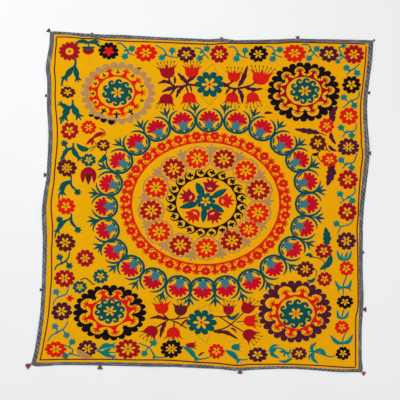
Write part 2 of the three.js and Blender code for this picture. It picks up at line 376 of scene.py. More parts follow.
class Mesher:
    """Gathers closed forms in arrays and makes one mesh of them.

    Every form is a run of sections. Its corners carry a place in metres in the UV map
    "stitch", along the thread and across it, and its faces a number in "tone".
    """

    def __init__(self) -> None:
        """Start with no forms."""
        self.points: list[Array] = []
        self.faces: list[Array] = []
        self.marks: list[Array] = []
        self.tones: list[Array] = []
        self.count = 0

    def put(self, points: Array, faces: Array, marks: Array, tone: float) -> None:
        """Keep one closed form, turned so that its faces point out.

        Args:
            points: corners, x, y and z.
            faces: four corner numbers a face, the last one repeated on a triangle.
            marks: the UV place of each corner of each face.
            tone: the form's tone, 0 to 1.
        """
        local = points - points.mean(axis=0)
        a, b, c, d = (local[faces[:, k]] for k in range(4))
        volume = np.einsum("ij,ij->i", a, np.cross(b, c)).sum()
        volume += np.einsum("ij,ij->i", a, np.cross(c, d)).sum()
        if volume < 0:
            faces = faces[:, [1, 0, 3, 2]]
            marks = marks[:, [1, 0, 3, 2]]
        self.points.append(points)
        self.faces.append(faces + self.count)
        self.marks.append(marks)
        self.tones.append(np.full(len(faces), tone))
        self.count += len(points)

    def loft(self, grid: Array, marks: Array, closed: bool, tone: float) -> None:
        """Add a form swept through sections, each a closed ring of corners.

        Args:
            grid: sections by corners by x, y and z.
            marks: UV places, one more section than grid where it is closed.
            closed: whether the last section joins the first one.
            tone: the form's tone, 0 to 1.
        """
        sections, ring = grid.shape[:2]
        spans = sections if closed else sections - 1
        i, j = np.meshgrid(np.arange(spans), np.arange(ring), indexing="ij")
        i, j = i.ravel(), j.ravel()
        near, far, beside = i * ring, (i + 1) % sections * ring, (j + 1) % ring
        faces = np.stack((near + j, far + j, far + beside, near + beside), axis=1)
        corner = np.stack((marks[i, j], marks[i + 1, j], marks[i + 1, beside], marks[i, beside]), axis=1)
        points = grid.reshape(-1, 3)
        if not closed:
            caps = []
            for section, order in ((0, 1), (sections - 1, -1)):
                for k in range(1, ring - 1):
                    cap = [section * ring, section * ring + k, section * ring + k + 1]
                    caps.append([*cap[::order], cap[::order][-1]])
            caps = np.array(caps)
            flat = marks[:sections].reshape(-1, 2)
            faces = np.concatenate((faces, caps))
            corner = np.concatenate((corner, flat[caps]))
        self.put(points, faces, corner, tone)

    def cover(self, rings: Array, top: Array, foot: Array, marks: Array, middle: Array, tone: float) -> None:
        """Add a low form of nested rings, closed by a top point and a foot point.

        Args:
            rings: rings by corners by x, y and z, the first ring the rim.
            top: the top point.
            foot: the point under the rim's middle.
            marks: UV places of the rings' corners.
            middle: UV place of the top and foot points.
            tone: the form's tone, 0 to 1.
        """
        levels, count = rings.shape[:2]
        points = np.concatenate((rings.reshape(-1, 3), top[None], foot[None]))
        j = np.arange(count)
        beside = (j + 1) % count
        faces, corner = [], []
        for level in range(levels - 1):
            a, b = level * count, (level + 1) * count
            faces.append(np.stack((a + j, a + beside, b + beside, b + j), axis=1))
            corner.append(np.stack((
                marks[level, j], marks[level, beside], marks[level + 1, beside], marks[level + 1, j],
            ), axis=1))
        centre = np.broadcast_to(middle, (count, 2))
        peak = np.full(count, levels * count)
        a = (levels - 1) * count
        faces.append(np.stack((a + j, a + beside, peak, peak), axis=1))
        corner.append(np.stack((marks[-1, j], marks[-1, beside], centre, centre), axis=1))
        faces.append(np.stack((beside, j, peak + 1, peak + 1), axis=1))
        corner.append(np.stack((marks[0, beside], marks[0, j], centre, centre), axis=1))
        self.put(points, np.concatenate(faces), np.concatenate(corner), tone)

    def build(self, name: str, sharp: float = 50.0) -> Piece:
        """Make the mesh object.

        Args:
            name: the piece's name.
            sharp: edges turning by more than these degrees stay crisp.

        Returns:
            The new object, at the origin.
        """
        points = np.concatenate(self.points)
        faces = np.concatenate(self.faces)
        marks = np.concatenate(self.marks)
        tones = np.concatenate(self.tones)
        triangle = faces[:, 2] == faces[:, 3]
        sizes = np.where(triangle, 3, 4)
        keep = np.ones(faces.shape, bool)
        keep[triangle, 3] = False
        starts = np.concatenate(([0], np.cumsum(sizes)[:-1]))
        mesh = bpy.data.meshes.new(name)
        mesh.vertices.add(len(points))
        mesh.vertices.foreach_set("co", points.astype(np.float32).ravel())
        mesh.loops.add(int(sizes.sum()))
        mesh.loops.foreach_set("vertex_index", faces[keep].astype(np.int32))
        mesh.polygons.add(len(faces))
        mesh.polygons.foreach_set("loop_start", starts.astype(np.int32))
        mesh.update(calc_edges=True)
        mesh.validate()
        stitch = mesh.uv_layers.new(name="stitch")
        stitch.data.foreach_set("uv", marks[keep].astype(np.float32).ravel())
        tone = mesh.attributes.new("tone", "FLOAT", "FACE")
        tone.data.foreach_set("value", tones.astype(np.float32))
        mesh.shade_smooth()
        mesh.set_sharp_from_angle(angle=math.radians(sharp))
        piece = bpy.data.objects.new(name, mesh)
        bpy.context.scene.collection.objects.link(piece)
        return piece


class NodeBench:
    """Adds nodes to a shader tree and joins them."""

    def __init__(self, tree: Tree) -> None:
        """Work on one tree."""
        self.tree = tree

    def add(self, kind: str, **settings: object) -> Node:
        """Add a node.

        Args:
            kind: the node's type after "ShaderNode".
            **settings: properties of the node.

        Returns:
            The new node.
        """
        node = self.tree.nodes.new("ShaderNode" + kind)
        for key, value in settings.items():
            setattr(node, key, value)
        return node

    def feed(self, socket: Socket, value: object) -> None:
        """Join a socket to another one, or set its value."""
        if isinstance(value, Socket):
            self.tree.links.new(value, socket)
        else:
            socket.default_value = value

    def sum(self, operation: str, *values: object) -> Socket:
        """Add a math node.

        Args:
            operation: the math node's operation.
            *values: sockets or numbers.

        Returns:
            Its result.
        """
        node = self.add("Math", operation=operation)
        for socket, value in zip(node.inputs, values):
            self.feed(socket, value)
        return node.outputs[0]

    def blend(self, share: object, first: object, second: object) -> Socket:
        """Mix two colours.

        Args:
            share: how much of the second one.
            first: a socket or colour.
            second: a socket or colour.

        Returns:
            The mixed colour.
        """
        node = self.add("Mix", data_type="RGBA")
        self.feed(node.inputs["Factor"], share)
        self.feed(node.inputs[6], first)
        self.feed(node.inputs[7], second)
        return node.outputs[2]

    def ramp(self, value: object, low: float, high: float) -> Socket:
        """Stretch a span of numbers to 0 to 1, held at both ends.

        Args:
            value: a socket or number.
            low: the number that becomes 0.
            high: the number that becomes 1.

        Returns:
            The stretched value.
        """
        node = self.add("MapRange")
        self.feed(node.inputs["Value"], value)
        self.feed(node.inputs["From Min"], low)
        self.feed(node.inputs["From Max"], high)
        return node.outputs["Result"]

    def noise(self, vector: object, scale: object, detail: float = 2.0) -> Socket:
        """Add soft noise.

        Args:
            vector: the place that is read.
            scale: patches a metre.
            detail: octaves.

        Returns:
            The noise, about 0.3 to 0.7.
        """
        node = self.add("TexNoise", noise_dimensions="3D")
        self.feed(node.inputs["Vector"], vector)
        self.feed(node.inputs["Scale"], scale)
        self.feed(node.inputs["Detail"], detail)
        return node.outputs["Fac"]

    def stretch(self, vector: object, scale: tuple[float, float, float]) -> Socket:
        """Multiply a vector by a size for each axis."""
        node = self.add("VectorMath", operation="MULTIPLY")
        self.feed(node.inputs[0], vector)
        node.inputs[1].default_value = scale
        return node.outputs[0]

    def stitch_place(self) -> Socket:
        """Place along and across the thread, from the UV map."""
        return self.add("UVMap", uv_map="stitch").outputs["UV"]

    def tone(self) -> Socket:
        """The form's own tone."""
        return self.add("Attribute", attribute_name="tone").outputs["Fac"]

    def split(self, vector: object) -> tuple[Socket, Socket]:
        """Give a vector's x and y."""
        node = self.add("SeparateXYZ")
        self.feed(node.inputs[0], vector)
        return node.outputs[0], node.outputs[1]


def make_group(name: str, inputs: tuple, outputs: tuple) -> tuple:
    """Start a shader node group.

    Args:
        name: the group's name.
        inputs: pairs of socket name and kind.
        outputs: pairs of socket name and kind.

    Returns:
        The group, its bench, the group input node and the group output node.
    """
    group = bpy.data.node_groups.new(name, "ShaderNodeTree")
    for label, kind in inputs:
        group.interface.new_socket(label, in_out="INPUT", socket_type="NodeSocket" + kind)
    for label, kind in outputs:
        group.interface.new_socket(label, in_out="OUTPUT", socket_type="NodeSocket" + kind)
    bench = NodeBench(group)
    start = group.nodes.new("NodeGroupInput")
    end = group.nodes.new("NodeGroupOutput")
    return group, bench, start, end


def laid_stitch_group() -> Tree:
    """Build the effect of silk laid side by side and tied down, with painted shade in the grooves between
    strands and at the ties.

    Returns:
        The node group.
    """
    group, bench, start, end = make_group(
        "laid stitches",
        (("Place", "Vector"), ("Silk", "Color"), ("Deep", "Color"), ("Pitch", "Float"),
         ("Tie", "Float"), ("Tone", "Float")),
        (("Color", "Color"), ("Roughness", "Float"), ("Height", "Float")),
    )
    along, across = bench.split(start.outputs["Place"])
    wander = bench.noise(bench.stretch(start.outputs["Place"], (60.0, 60.0, 1.0)), 1.0)
    shifted = bench.sum("MULTIPLY_ADD", wander, 0.0012, across)
    lane = bench.sum("DIVIDE", shifted, start.outputs["Pitch"])
    crown = bench.sum("PINGPONG", lane, 0.5)
    crown = bench.sum("MULTIPLY", crown, 2.0)
    number = bench.sum("FLOOR", lane)
    stagger = bench.sum("MULTIPLY", number, 0.381)
    tie_place = bench.sum("ADD", bench.sum("DIVIDE", along, start.outputs["Tie"]), stagger)
    tie = bench.sum("PINGPONG", tie_place, 0.5)
    tie = bench.ramp(tie, 0.0, 0.13)
    height = bench.sum("MULTIPLY", bench.sum("POWER", crown, 0.6), bench.sum("MULTIPLY_ADD", tie, 0.5, 0.5))
    strand = bench.add("TexWhiteNoise", noise_dimensions="1D")
    bench.feed(strand.inputs["W"], number)
    # Painted shade: the colour turns towards the deep one where the strands dip, between them and at the
    # ties, mixed with each strand's random tone.
    groove = bench.ramp(height, 0.1, 0.75)
    lot = bench.sum("MULTIPLY_ADD", strand.outputs["Value"], 0.35, bench.sum("MULTIPLY", groove, 0.65))
    lot = bench.sum("ADD", lot, bench.sum("MULTIPLY_ADD", start.outputs["Tone"], 0.3, -0.1))
    node = bench.blend(bench.ramp(lot, 0.0, 0.85), start.outputs["Deep"], start.outputs["Silk"])
    bench.feed(end.inputs["Color"], node)
    bench.feed(end.inputs["Roughness"], bench.sum("MULTIPLY_ADD", groove, -0.16, 0.62))
    bench.feed(end.inputs["Height"], height)
    return group


def weave_group() -> Tree:
    """Build the effect of a plain weave with uneven threads.

    Returns:
        The node group.
    """
    group, bench, start, end = make_group(
        "plain weave",
        (("Place", "Vector"), ("Pitch", "Float")),
        (("Height", "Float"), ("Slub", "Float")),
    )
    along, across = bench.split(start.outputs["Place"])
    warp = bench.sum("DIVIDE", across, start.outputs["Pitch"])
    weft = bench.sum("DIVIDE", along, start.outputs["Pitch"])
    row = bench.sum("FLOOR", warp)
    over = bench.sum("PINGPONG", bench.sum("ADD", weft, row), 1.0)
    ridge = bench.sum("PINGPONG", warp, 0.5)
    rib = bench.sum("PINGPONG", weft, 0.5)
    height = bench.sum("MULTIPLY_ADD", over, 0.5, bench.sum("ADD", ridge, rib))
    lengthways = bench.noise(bench.stretch(start.outputs["Place"], (14.0, 620.0, 1.0)), 1.0)
    crossways = bench.noise(bench.stretch(start.outputs["Place"], (620.0, 14.0, 1.0)), 1.0)
    slub = bench.sum("MULTIPLY", bench.sum("ADD", lengthways, crossways), 0.5)
    bench.feed(end.inputs["Height"], height)
    bench.feed(end.inputs["Slub"], bench.ramp(slub, 0.35, 0.65))
    return group


def wear_group() -> Tree:
    """Build the effect of uneven dye and rubbed, dusty patches.

    Returns:
        The node group.
    """
    group, bench, start, end = make_group(
        "uneven dye",
        (("Color", "Color"), ("Dust", "Color"), ("Amount", "Float")),
        (("Color", "Color"), ("Mask", "Float")),
    )
    place = bench.add("TexCoord").outputs["Object"]
    broad = bench.ramp(bench.noise(place, 2.3, 3.0), 0.32, 0.68)
    fine = bench.ramp(bench.noise(place, 34.0, 4.0), 0.42, 0.75)
    mask = bench.sum("MULTIPLY", bench.sum("MULTIPLY_ADD", broad, 0.6, 0.15), fine)
    mask = bench.sum("ADD", bench.sum("MULTIPLY", mask, 0.7), bench.sum("MULTIPLY", broad, 0.3))
    share = bench.sum("MULTIPLY", mask, start.outputs["Amount"])
    bench.feed(end.inputs["Color"], bench.blend(share, start.outputs["Color"], start.outputs["Dust"]))
    bench.feed(end.inputs["Mask"], mask)
    return group


def twist_group() -> Tree:
    """Build the effect of plied yarn: slanting plies along a strand.

    Returns:
        The node group.
    """
    group, bench, start, end = make_group(
        "yarn twist",
        (("Place", "Vector"), ("Lay", "Float")),
        (("Height", "Float"), ("Strand", "Float")),
    )
    along, across = bench.split(start.outputs["Place"])
    turns_per_metre = 420.0
    turn = bench.sum("MULTIPLY", across, turns_per_metre)
    slant = bench.sum("ADD", bench.sum("DIVIDE", along, start.outputs["Lay"]), turn)
    ply = bench.sum("MULTIPLY", bench.sum("PINGPONG", slant, 0.5), 2.0)
    fibre = bench.noise(bench.stretch(start.outputs["Place"], (300.0, 2600.0, 1.0)), 1.0, 3.0)
    bench.feed(end.inputs["Height"], bench.sum("MULTIPLY_ADD", fibre, 0.4, bench.sum("POWER", ply, 0.5)))
    bench.feed(end.inputs["Strand"], fibre)
    return group


@dataclass
class Dye:
    """The effects that the finishes share."""

    stitch: Tree = field(default_factory=laid_stitch_group)
    weave: Tree = field(default_factory=weave_group)
    wear: Tree = field(default_factory=wear_group)
    twist: Tree = field(default_factory=twist_group)

    def use(self, bench: NodeBench, group: Tree, **values: object) -> Node:
        """Place a group in a material.

        Args:
            bench: the material's bench.
            group: the effect.
            **values: its inputs by name.

        Returns:
            The group's node.
        """
        node = bench.add("Group", node_tree=group)
        for name, value in values.items():
            bench.feed(node.inputs[name], value)
        return node


def new_material(name: str, sheen: float, tint: tuple, gloss: float = 0.25) -> tuple:
    """Start a cloth material.

    Args:
        name: the material's name.
        sheen: weight of the fibres' sheen.
        tint: colour of the sheen.
        gloss: how strong its highlights are.

    Returns:
        The material, its bench and its shader node.
    """
    material = bpy.data.materials.new(name)
    material.use_nodes = True
    shader = material.node_tree.nodes["Principled BSDF"]
    shader.inputs["Sheen Weight"].default_value = sheen
    shader.inputs["Sheen Roughness"].default_value = 0.45
    shader.inputs["Sheen Tint"].default_value = tint
    shader.inputs["Specular IOR Level"].default_value = gloss
    return material, NodeBench(material.node_tree), shader


def dress_shader(bench: NodeBench, shader: Node, colour: object, rough: object,
                 height: object, depth: float) -> None:
    """Give the shader its colour, roughness and normal.

    Args:
        bench: the material's bench.
        shader: the shader.
        colour: a socket.
        rough: a socket.
        height: a socket, about 0 to 1.
        depth: metres for a height of 1.
    """
    bump = bench.add("Bump")
    bump.inputs["Strength"].default_value = 0.8
    bump.inputs["Distance"].default_value = depth
    bench.feed(bump.inputs["Height"], height)
    bench.feed(shader.inputs["Base Color"], colour)
    bench.feed(shader.inputs["Roughness"], rough)
    bench.feed(shader.inputs["Normal"], bump.outputs["Normal"])


@dataclass(frozen=True)
class SilkFinish:
    """Laid silk of one thread.

    Attributes:
        thread: the thread.
        pitch: spacing of the laid strands.
        tie: spacing of the ties along a strand.
        fade: how much dust and fading shows.
        relief: depth of the strands.
    """

    thread: Thread
    pitch: float = 0.0011
    tie: float = 0.007
    fade: float = 0.14
    relief: float = 0.0005

    def material(self, dye: Dye) -> Material:
        """Make the material.

        Args:
            dye: the shared effects.

        Returns:
            The material.
        """
        _, silk, deep = self.thread.value
        pale = tuple(min(255, int(value * 0.95 + 9)) for value in silk)
        material, bench, shader = new_material("silk_" + self.thread.label, 0.01, paint(*pale), 0.05)
        # The deep colour is painted shade in the grooves between strands and at the ties, and the random tone
        # of some strands.
        stitches = dye.use(
            bench, dye.stitch, Place=bench.stitch_place(), Silk=paint(*silk), Deep=paint(*deep),
            Pitch=self.pitch, Tie=self.tie, Tone=bench.tone(),
        ).outputs
        worn = dye.use(bench, dye.wear, Color=stitches["Color"], Dust=paint(*pale), Amount=self.fade)
        rough, height = stitches["Roughness"], stitches["Height"]
        dress_shader(bench, shader, worn.outputs["Color"], rough, height, self.relief)
        return material


@dataclass(frozen=True)
class GroundFinish:
    """The golden cloth.

    Attributes:
        bright: its colour where the dye is full.
        deep: its colour where the dye has gathered.
        dust: its colour where it is rubbed.
        amber: the darker, more orange colour painted towards the right side as shade.
        pitch: spacing of the threads.
        relief: depth of the weave.
    """

    bright: tuple[int, int, int] = (238, 178, 0)
    deep: tuple[int, int, int] = (222, 152, 0)
    dust: tuple[int, int, int] = (230, 182, 8)
    amber: tuple[int, int, int] = (234, 160, 0)
    pitch: float = 0.0009
    relief: float = 0.0003

    def material(self, dye: Dye) -> Material:
        """Make the material.

        Args:
            dye: the shared effects.

        Returns:
            The material.
        """
        material, bench, shader = new_material("golden_cloth", 0.01, paint(255, 220, 130), 0.05)
        place = bench.stitch_place()
        weave = dye.use(bench, dye.weave, Place=place, Pitch=self.pitch)
        colour = bench.blend(weave.outputs["Slub"], paint(*self.deep), paint(*self.bright))
        # Painted shade: the cloth turns darker and more orange towards the right side.
        across, _ = bench.split(bench.add("TexCoord").outputs["Object"])
        colour = bench.blend(bench.ramp(across, -0.6, 1.3), colour, paint(*self.amber))
        worn = dye.use(bench, dye.wear, Color=colour, Dust=paint(*self.dust), Amount=0.35)
        rough = bench.sum("MULTIPLY_ADD", worn.outputs["Mask"], 0.12, 0.72)
        height = bench.sum("MULTIPLY_ADD", weave.outputs["Slub"], 0.8, weave.outputs["Height"])
        dress_shader(bench, shader, worn.outputs["Color"], rough, height, self.relief)
        return material


@dataclass(frozen=True)
class EdgingFinish:
    """The woven edging: slanting stripes of grey, plum and green.

    Attributes:
        grey: the ground of the band.
        pale: its light stripe.
        dark: its dark stripe.
        green: its third stripe.
        light: its light streaks along the band.
        repeat: spacing of the stripes along the band.
        pitch: spacing of the threads.
        rib: spacing of the slanting ribs.
        relief: depth of the weave.
    """

    grey: tuple[int, int, int] = (78, 82, 86)
    pale: tuple[int, int, int] = (124, 127, 130)
    dark: tuple[int, int, int] = (60, 58, 64)
    green: tuple[int, int, int] = (76, 86, 80)
    light: tuple[int, int, int] = (172, 174, 176)
    repeat: float = 0.031
    pitch: float = 0.0012
    rib: float = 0.0022
    relief: float = 0.0004

    def material(self, dye: Dye) -> Material:
        """Make the material.

        Args:
            dye: the shared effects.

        Returns:
            The material.
        """
        material, bench, shader = new_material("striped_edging", 0.05, paint(170, 165, 170), 0.1)
        place = bench.stitch_place()
        along, across = bench.split(place)
        slant = bench.sum("MULTIPLY_ADD", across, 1.25, along)
        turn = bench.sum("FRACT", bench.sum("DIVIDE", slant, self.repeat))
        dark = bench.sum("LESS_THAN", turn, 0.3)
        pale = bench.sum("GREATER_THAN", turn, 0.76)
        green = bench.sum("COMPARE", turn, 0.52, 0.07)
        colour = bench.blend(dark, paint(*self.grey), paint(*self.dark))
        colour = bench.blend(pale, colour, paint(*self.pale))
        colour = bench.blend(green, colour, paint(*self.green))
        streak = bench.ramp(bench.noise(bench.stretch(place, (15.0, 130.0, 1.0)), 1.0, 2.0), 0.52, 0.66)
        colour = bench.blend(bench.sum("MULTIPLY", streak, 0.6), colour, paint(*self.light))
        weave = dye.use(bench, dye.weave, Place=place, Pitch=self.pitch)
        shaded = bench.blend(bench.sum("MULTIPLY", weave.outputs["Slub"], 0.3), colour, paint(*self.grey))
        worn = dye.use(bench, dye.wear, Color=shaded, Dust=paint(*self.pale), Amount=0.1)
        rough = bench.sum("MULTIPLY_ADD", worn.outputs["Mask"], 0.1, 0.78)
        ridge = bench.sum("PINGPONG", bench.sum("DIVIDE", slant, self.rib), 0.5)
        height = bench.sum("ADD", ridge, weave.outputs["Height"])
        dress_shader(bench, shader, worn.outputs["Color"], rough, height, self.relief)
        return material


class Yarn(Enum):
    """Tassel yarns: the record's slot, the colour and the deep shade."""

    ROSE = ("yarn_rose", (150, 62, 76), (92, 28, 42))
    PLUM = ("yarn_plum", (96, 40, 56), (52, 16, 30))
    CRIMSON = ("yarn_crimson", (182, 44, 74), (118, 18, 44))
    BROWN = ("yarn_brown", (146, 92, 86), (88, 50, 48))
    OLIVE = ("yarn_olive", (118, 100, 56), (70, 58, 30))


@dataclass(frozen=True)
class YarnFinish:
    """Soft plied yarn of one colour: the yarn, the length of its lay and the depth of its plies."""

    yarn: Yarn
    lay: float = 0.0032
    relief: float = 0.0003

    def material(self, dye: Dye) -> Material:
        """Make the material.

        Args:
            dye: the shared effects.

        Returns:
            The material.
        """
        _, bright, deep = self.yarn.value
        material, bench, shader = new_material(self.yarn.value[0], 0.25, paint(*bright))
        twist = dye.use(bench, dye.twist, Place=bench.stitch_place(), Lay=self.lay)
        tone = bench.sum("MULTIPLY", bench.tone(), 0.6)
        share = bench.sum("MULTIPLY_ADD", twist.outputs["Strand"], 0.7, tone)
        colour = bench.blend(bench.ramp(share, 0.2, 0.9), paint(*deep), paint(*bright))
        worn = dye.use(bench, dye.wear, Color=colour, Dust=paint(196, 160, 150), Amount=0.25)
        rough = bench.sum("MULTIPLY_ADD", twist.outputs["Height"], -0.1, 0.9)
        dress_shader(bench, shader, worn.outputs["Color"], rough, twist.outputs["Height"], self.relief)
        return material


@dataclass
class GroundCloth:
    """The golden panel, one closed sheet between the four lengths of edging.

    Attributes:
        cells: squares of the grid along each side.
        clearance: gap to the edging.
        flat: width and length of the panel as cut.
    """

    cells: int = 150
    clearance: float = 0.0003
    flat: tuple[float, float] = (2.14, 2.16)

    def build(self, dye: Dye) -> Piece:
        """Make and dress the panel.

        Args:
            dye: the shared effects.

        Returns:
            The panel.
        """
        steps = np.linspace(0, 1, self.cells + 1)
        found = OUTLINE.corners(1.0, self.clearance)
        left = OUTLINE.line("left", 1.0, self.clearance, steps)[None]
        right = OUTLINE.line("right", 1.0, self.clearance, 1 - steps)[None]
        top = OUTLINE.line("top", 1.0, self.clearance, steps)[:, None]
        bottom = OUTLINE.line("bottom", 1.0, self.clearance, 1 - steps)[:, None]
        s, t = steps[:, None, None], steps[None, :, None]
        low = found["bottom_left"] * (1 - s) + found["bottom_right"] * s
        high = found["top_left"] * (1 - s) + found["top_right"] * s
        flat = left * (1 - s) + right * s + bottom * (1 - t) + top * t - low * (1 - t) - high * t
        height = RELIEF.height(flat)[..., None]
        upper = np.concatenate((flat, height + CLOTH_THICKNESS), axis=-1)
        under = np.concatenate((flat, height), axis=-1)
        sections = np.concatenate((upper, under[:, ::-1]), axis=1)
        wide, long = self.flat
        marks = np.stack(np.broadcast_arrays(s[..., 0] * wide, t[..., 0] * long), axis=-1)
        marks = np.concatenate((marks, marks[:, ::-1]), axis=1)
        mesher = Mesher()
        self._sew(mesher, sections, marks)
        panel = mesher.build("ground_panel", 60)
        panel.data.materials.append(GroundFinish().material(dye))
        return panel

    def _sew(self, mesher: Mesher, sections: Array, marks: Array) -> None:
        """Close the sheet: both faces, the rims along its length and both ends.

        Args:
            mesher: where the form goes.
            sections: one ring of corners for each line across the panel.
            marks: UV places of the same corners.
        """
        count, ring = sections.shape[:2]
        points = sections.reshape(-1, 3)
        flat = marks.reshape(-1, 2)
        i, j = (a.ravel() for a in np.meshgrid(np.arange(count - 1), np.arange(ring), indexing="ij"))
        beside = (j + 1) % ring
        near, far = i * ring, (i + 1) * ring
        sides = np.stack((near + j, far + j, far + beside, near + beside), axis=1)
        k = np.arange(ring // 2 - 1)
        start = np.stack((k + 1, k, ring - 1 - k, ring - 2 - k), axis=1)
        end = (start + (count - 1) * ring)[:, ::-1]
        faces = np.concatenate((sides, start[:, ::-1], end[:, ::-1]))
        mesher.put(points, faces, flat[faces], 0.5)


@dataclass
class Edging:
    """The striped band round the rim, one length for each side.

    Attributes:
        cells: sections along a side.
        thickness: thickness of the doubled band.
        overlap: how far its inner edge lies over the panel.
        profile: share of the width from the outer edge and share of the thickness.
        seat: how far its inner corner lies in the panel's face.
        play: what its flat top stays under the full thickness.
    """

    cells: int = 190
    thickness: float = 0.003
    overlap: float = 0.0012
    profile: tuple[tuple[float, float], ...] = (
        (0.0, 0.0), (-0.01, 0.45), (0.03, 0.86), (0.12, 1.0),
        (0.5, 1.05), (0.88, 1.0), (0.97, 0.9), (1.0, 0.0),
    )
    seat: float = 0.0002
    play: float = 0.0001

    def build(self, dye: Dye) -> list[Piece]:
        """Make and dress the four lengths.

        Args:
            dye: the shared effects.

        Returns:
            The lengths, clockwise from the left one.
        """
        material = EdgingFinish().material(dye)
        pieces = []
        for name in SIDE_ENDS:
            piece = self._length(name)
            piece.data.materials.append(material)
            pieces.append(piece)
        return pieces

    def _length(self, name: str) -> Piece:
        """Make one length.

        Args:
            name: the side's name.

        Returns:
            The length.
        """
        steps = np.linspace(0, 1, self.cells + 1)
        outer = OUTLINE.line(name, 0.0, 0.0, steps)
        inner = OUTLINE.line(name, 1.0, self.overlap, steps)
        width = np.linalg.norm(inner - outer, axis=1)
        run = run_along(outer)
        grid, marks = [], []
        for share, level in self.profile:
            flat = outer + (inner - outer) * share
            base = RELIEF.height(flat)
            over = CLOTH_THICKNESS - self.seat if share == 1.0 else 0.0
            z = base + over + level * (self.thickness - self.play)
            grid.append(np.concatenate((flat, z[:, None]), axis=1))
            marks.append(np.stack((run, width * share), axis=1))
        mesher = Mesher()
        mesher.loft(np.stack(grid, axis=1), np.stack(marks, axis=1), False, 0.5)
        return mesher.build("edging_band_" + name, 70)


@dataclass(frozen=True)
class TasselPlan:
    """Where a tassel is sewn on and how it lies.

    Attributes:
        name: its node's name without "tassel_".
        place: a side's name, or a corner's.
        at: place along the side, unused at a corner.
        heading: direction from +X, degrees.
        reach: edge to the longest tip.
        locks: how wide its head is, in locks.
        fan: spread of the strands, degrees.
        yarn: its yarn.
    """

    name: str
    place: str
    at: float
    heading: float
    reach: float
    locks: int
    fan: float
    yarn: Yarn


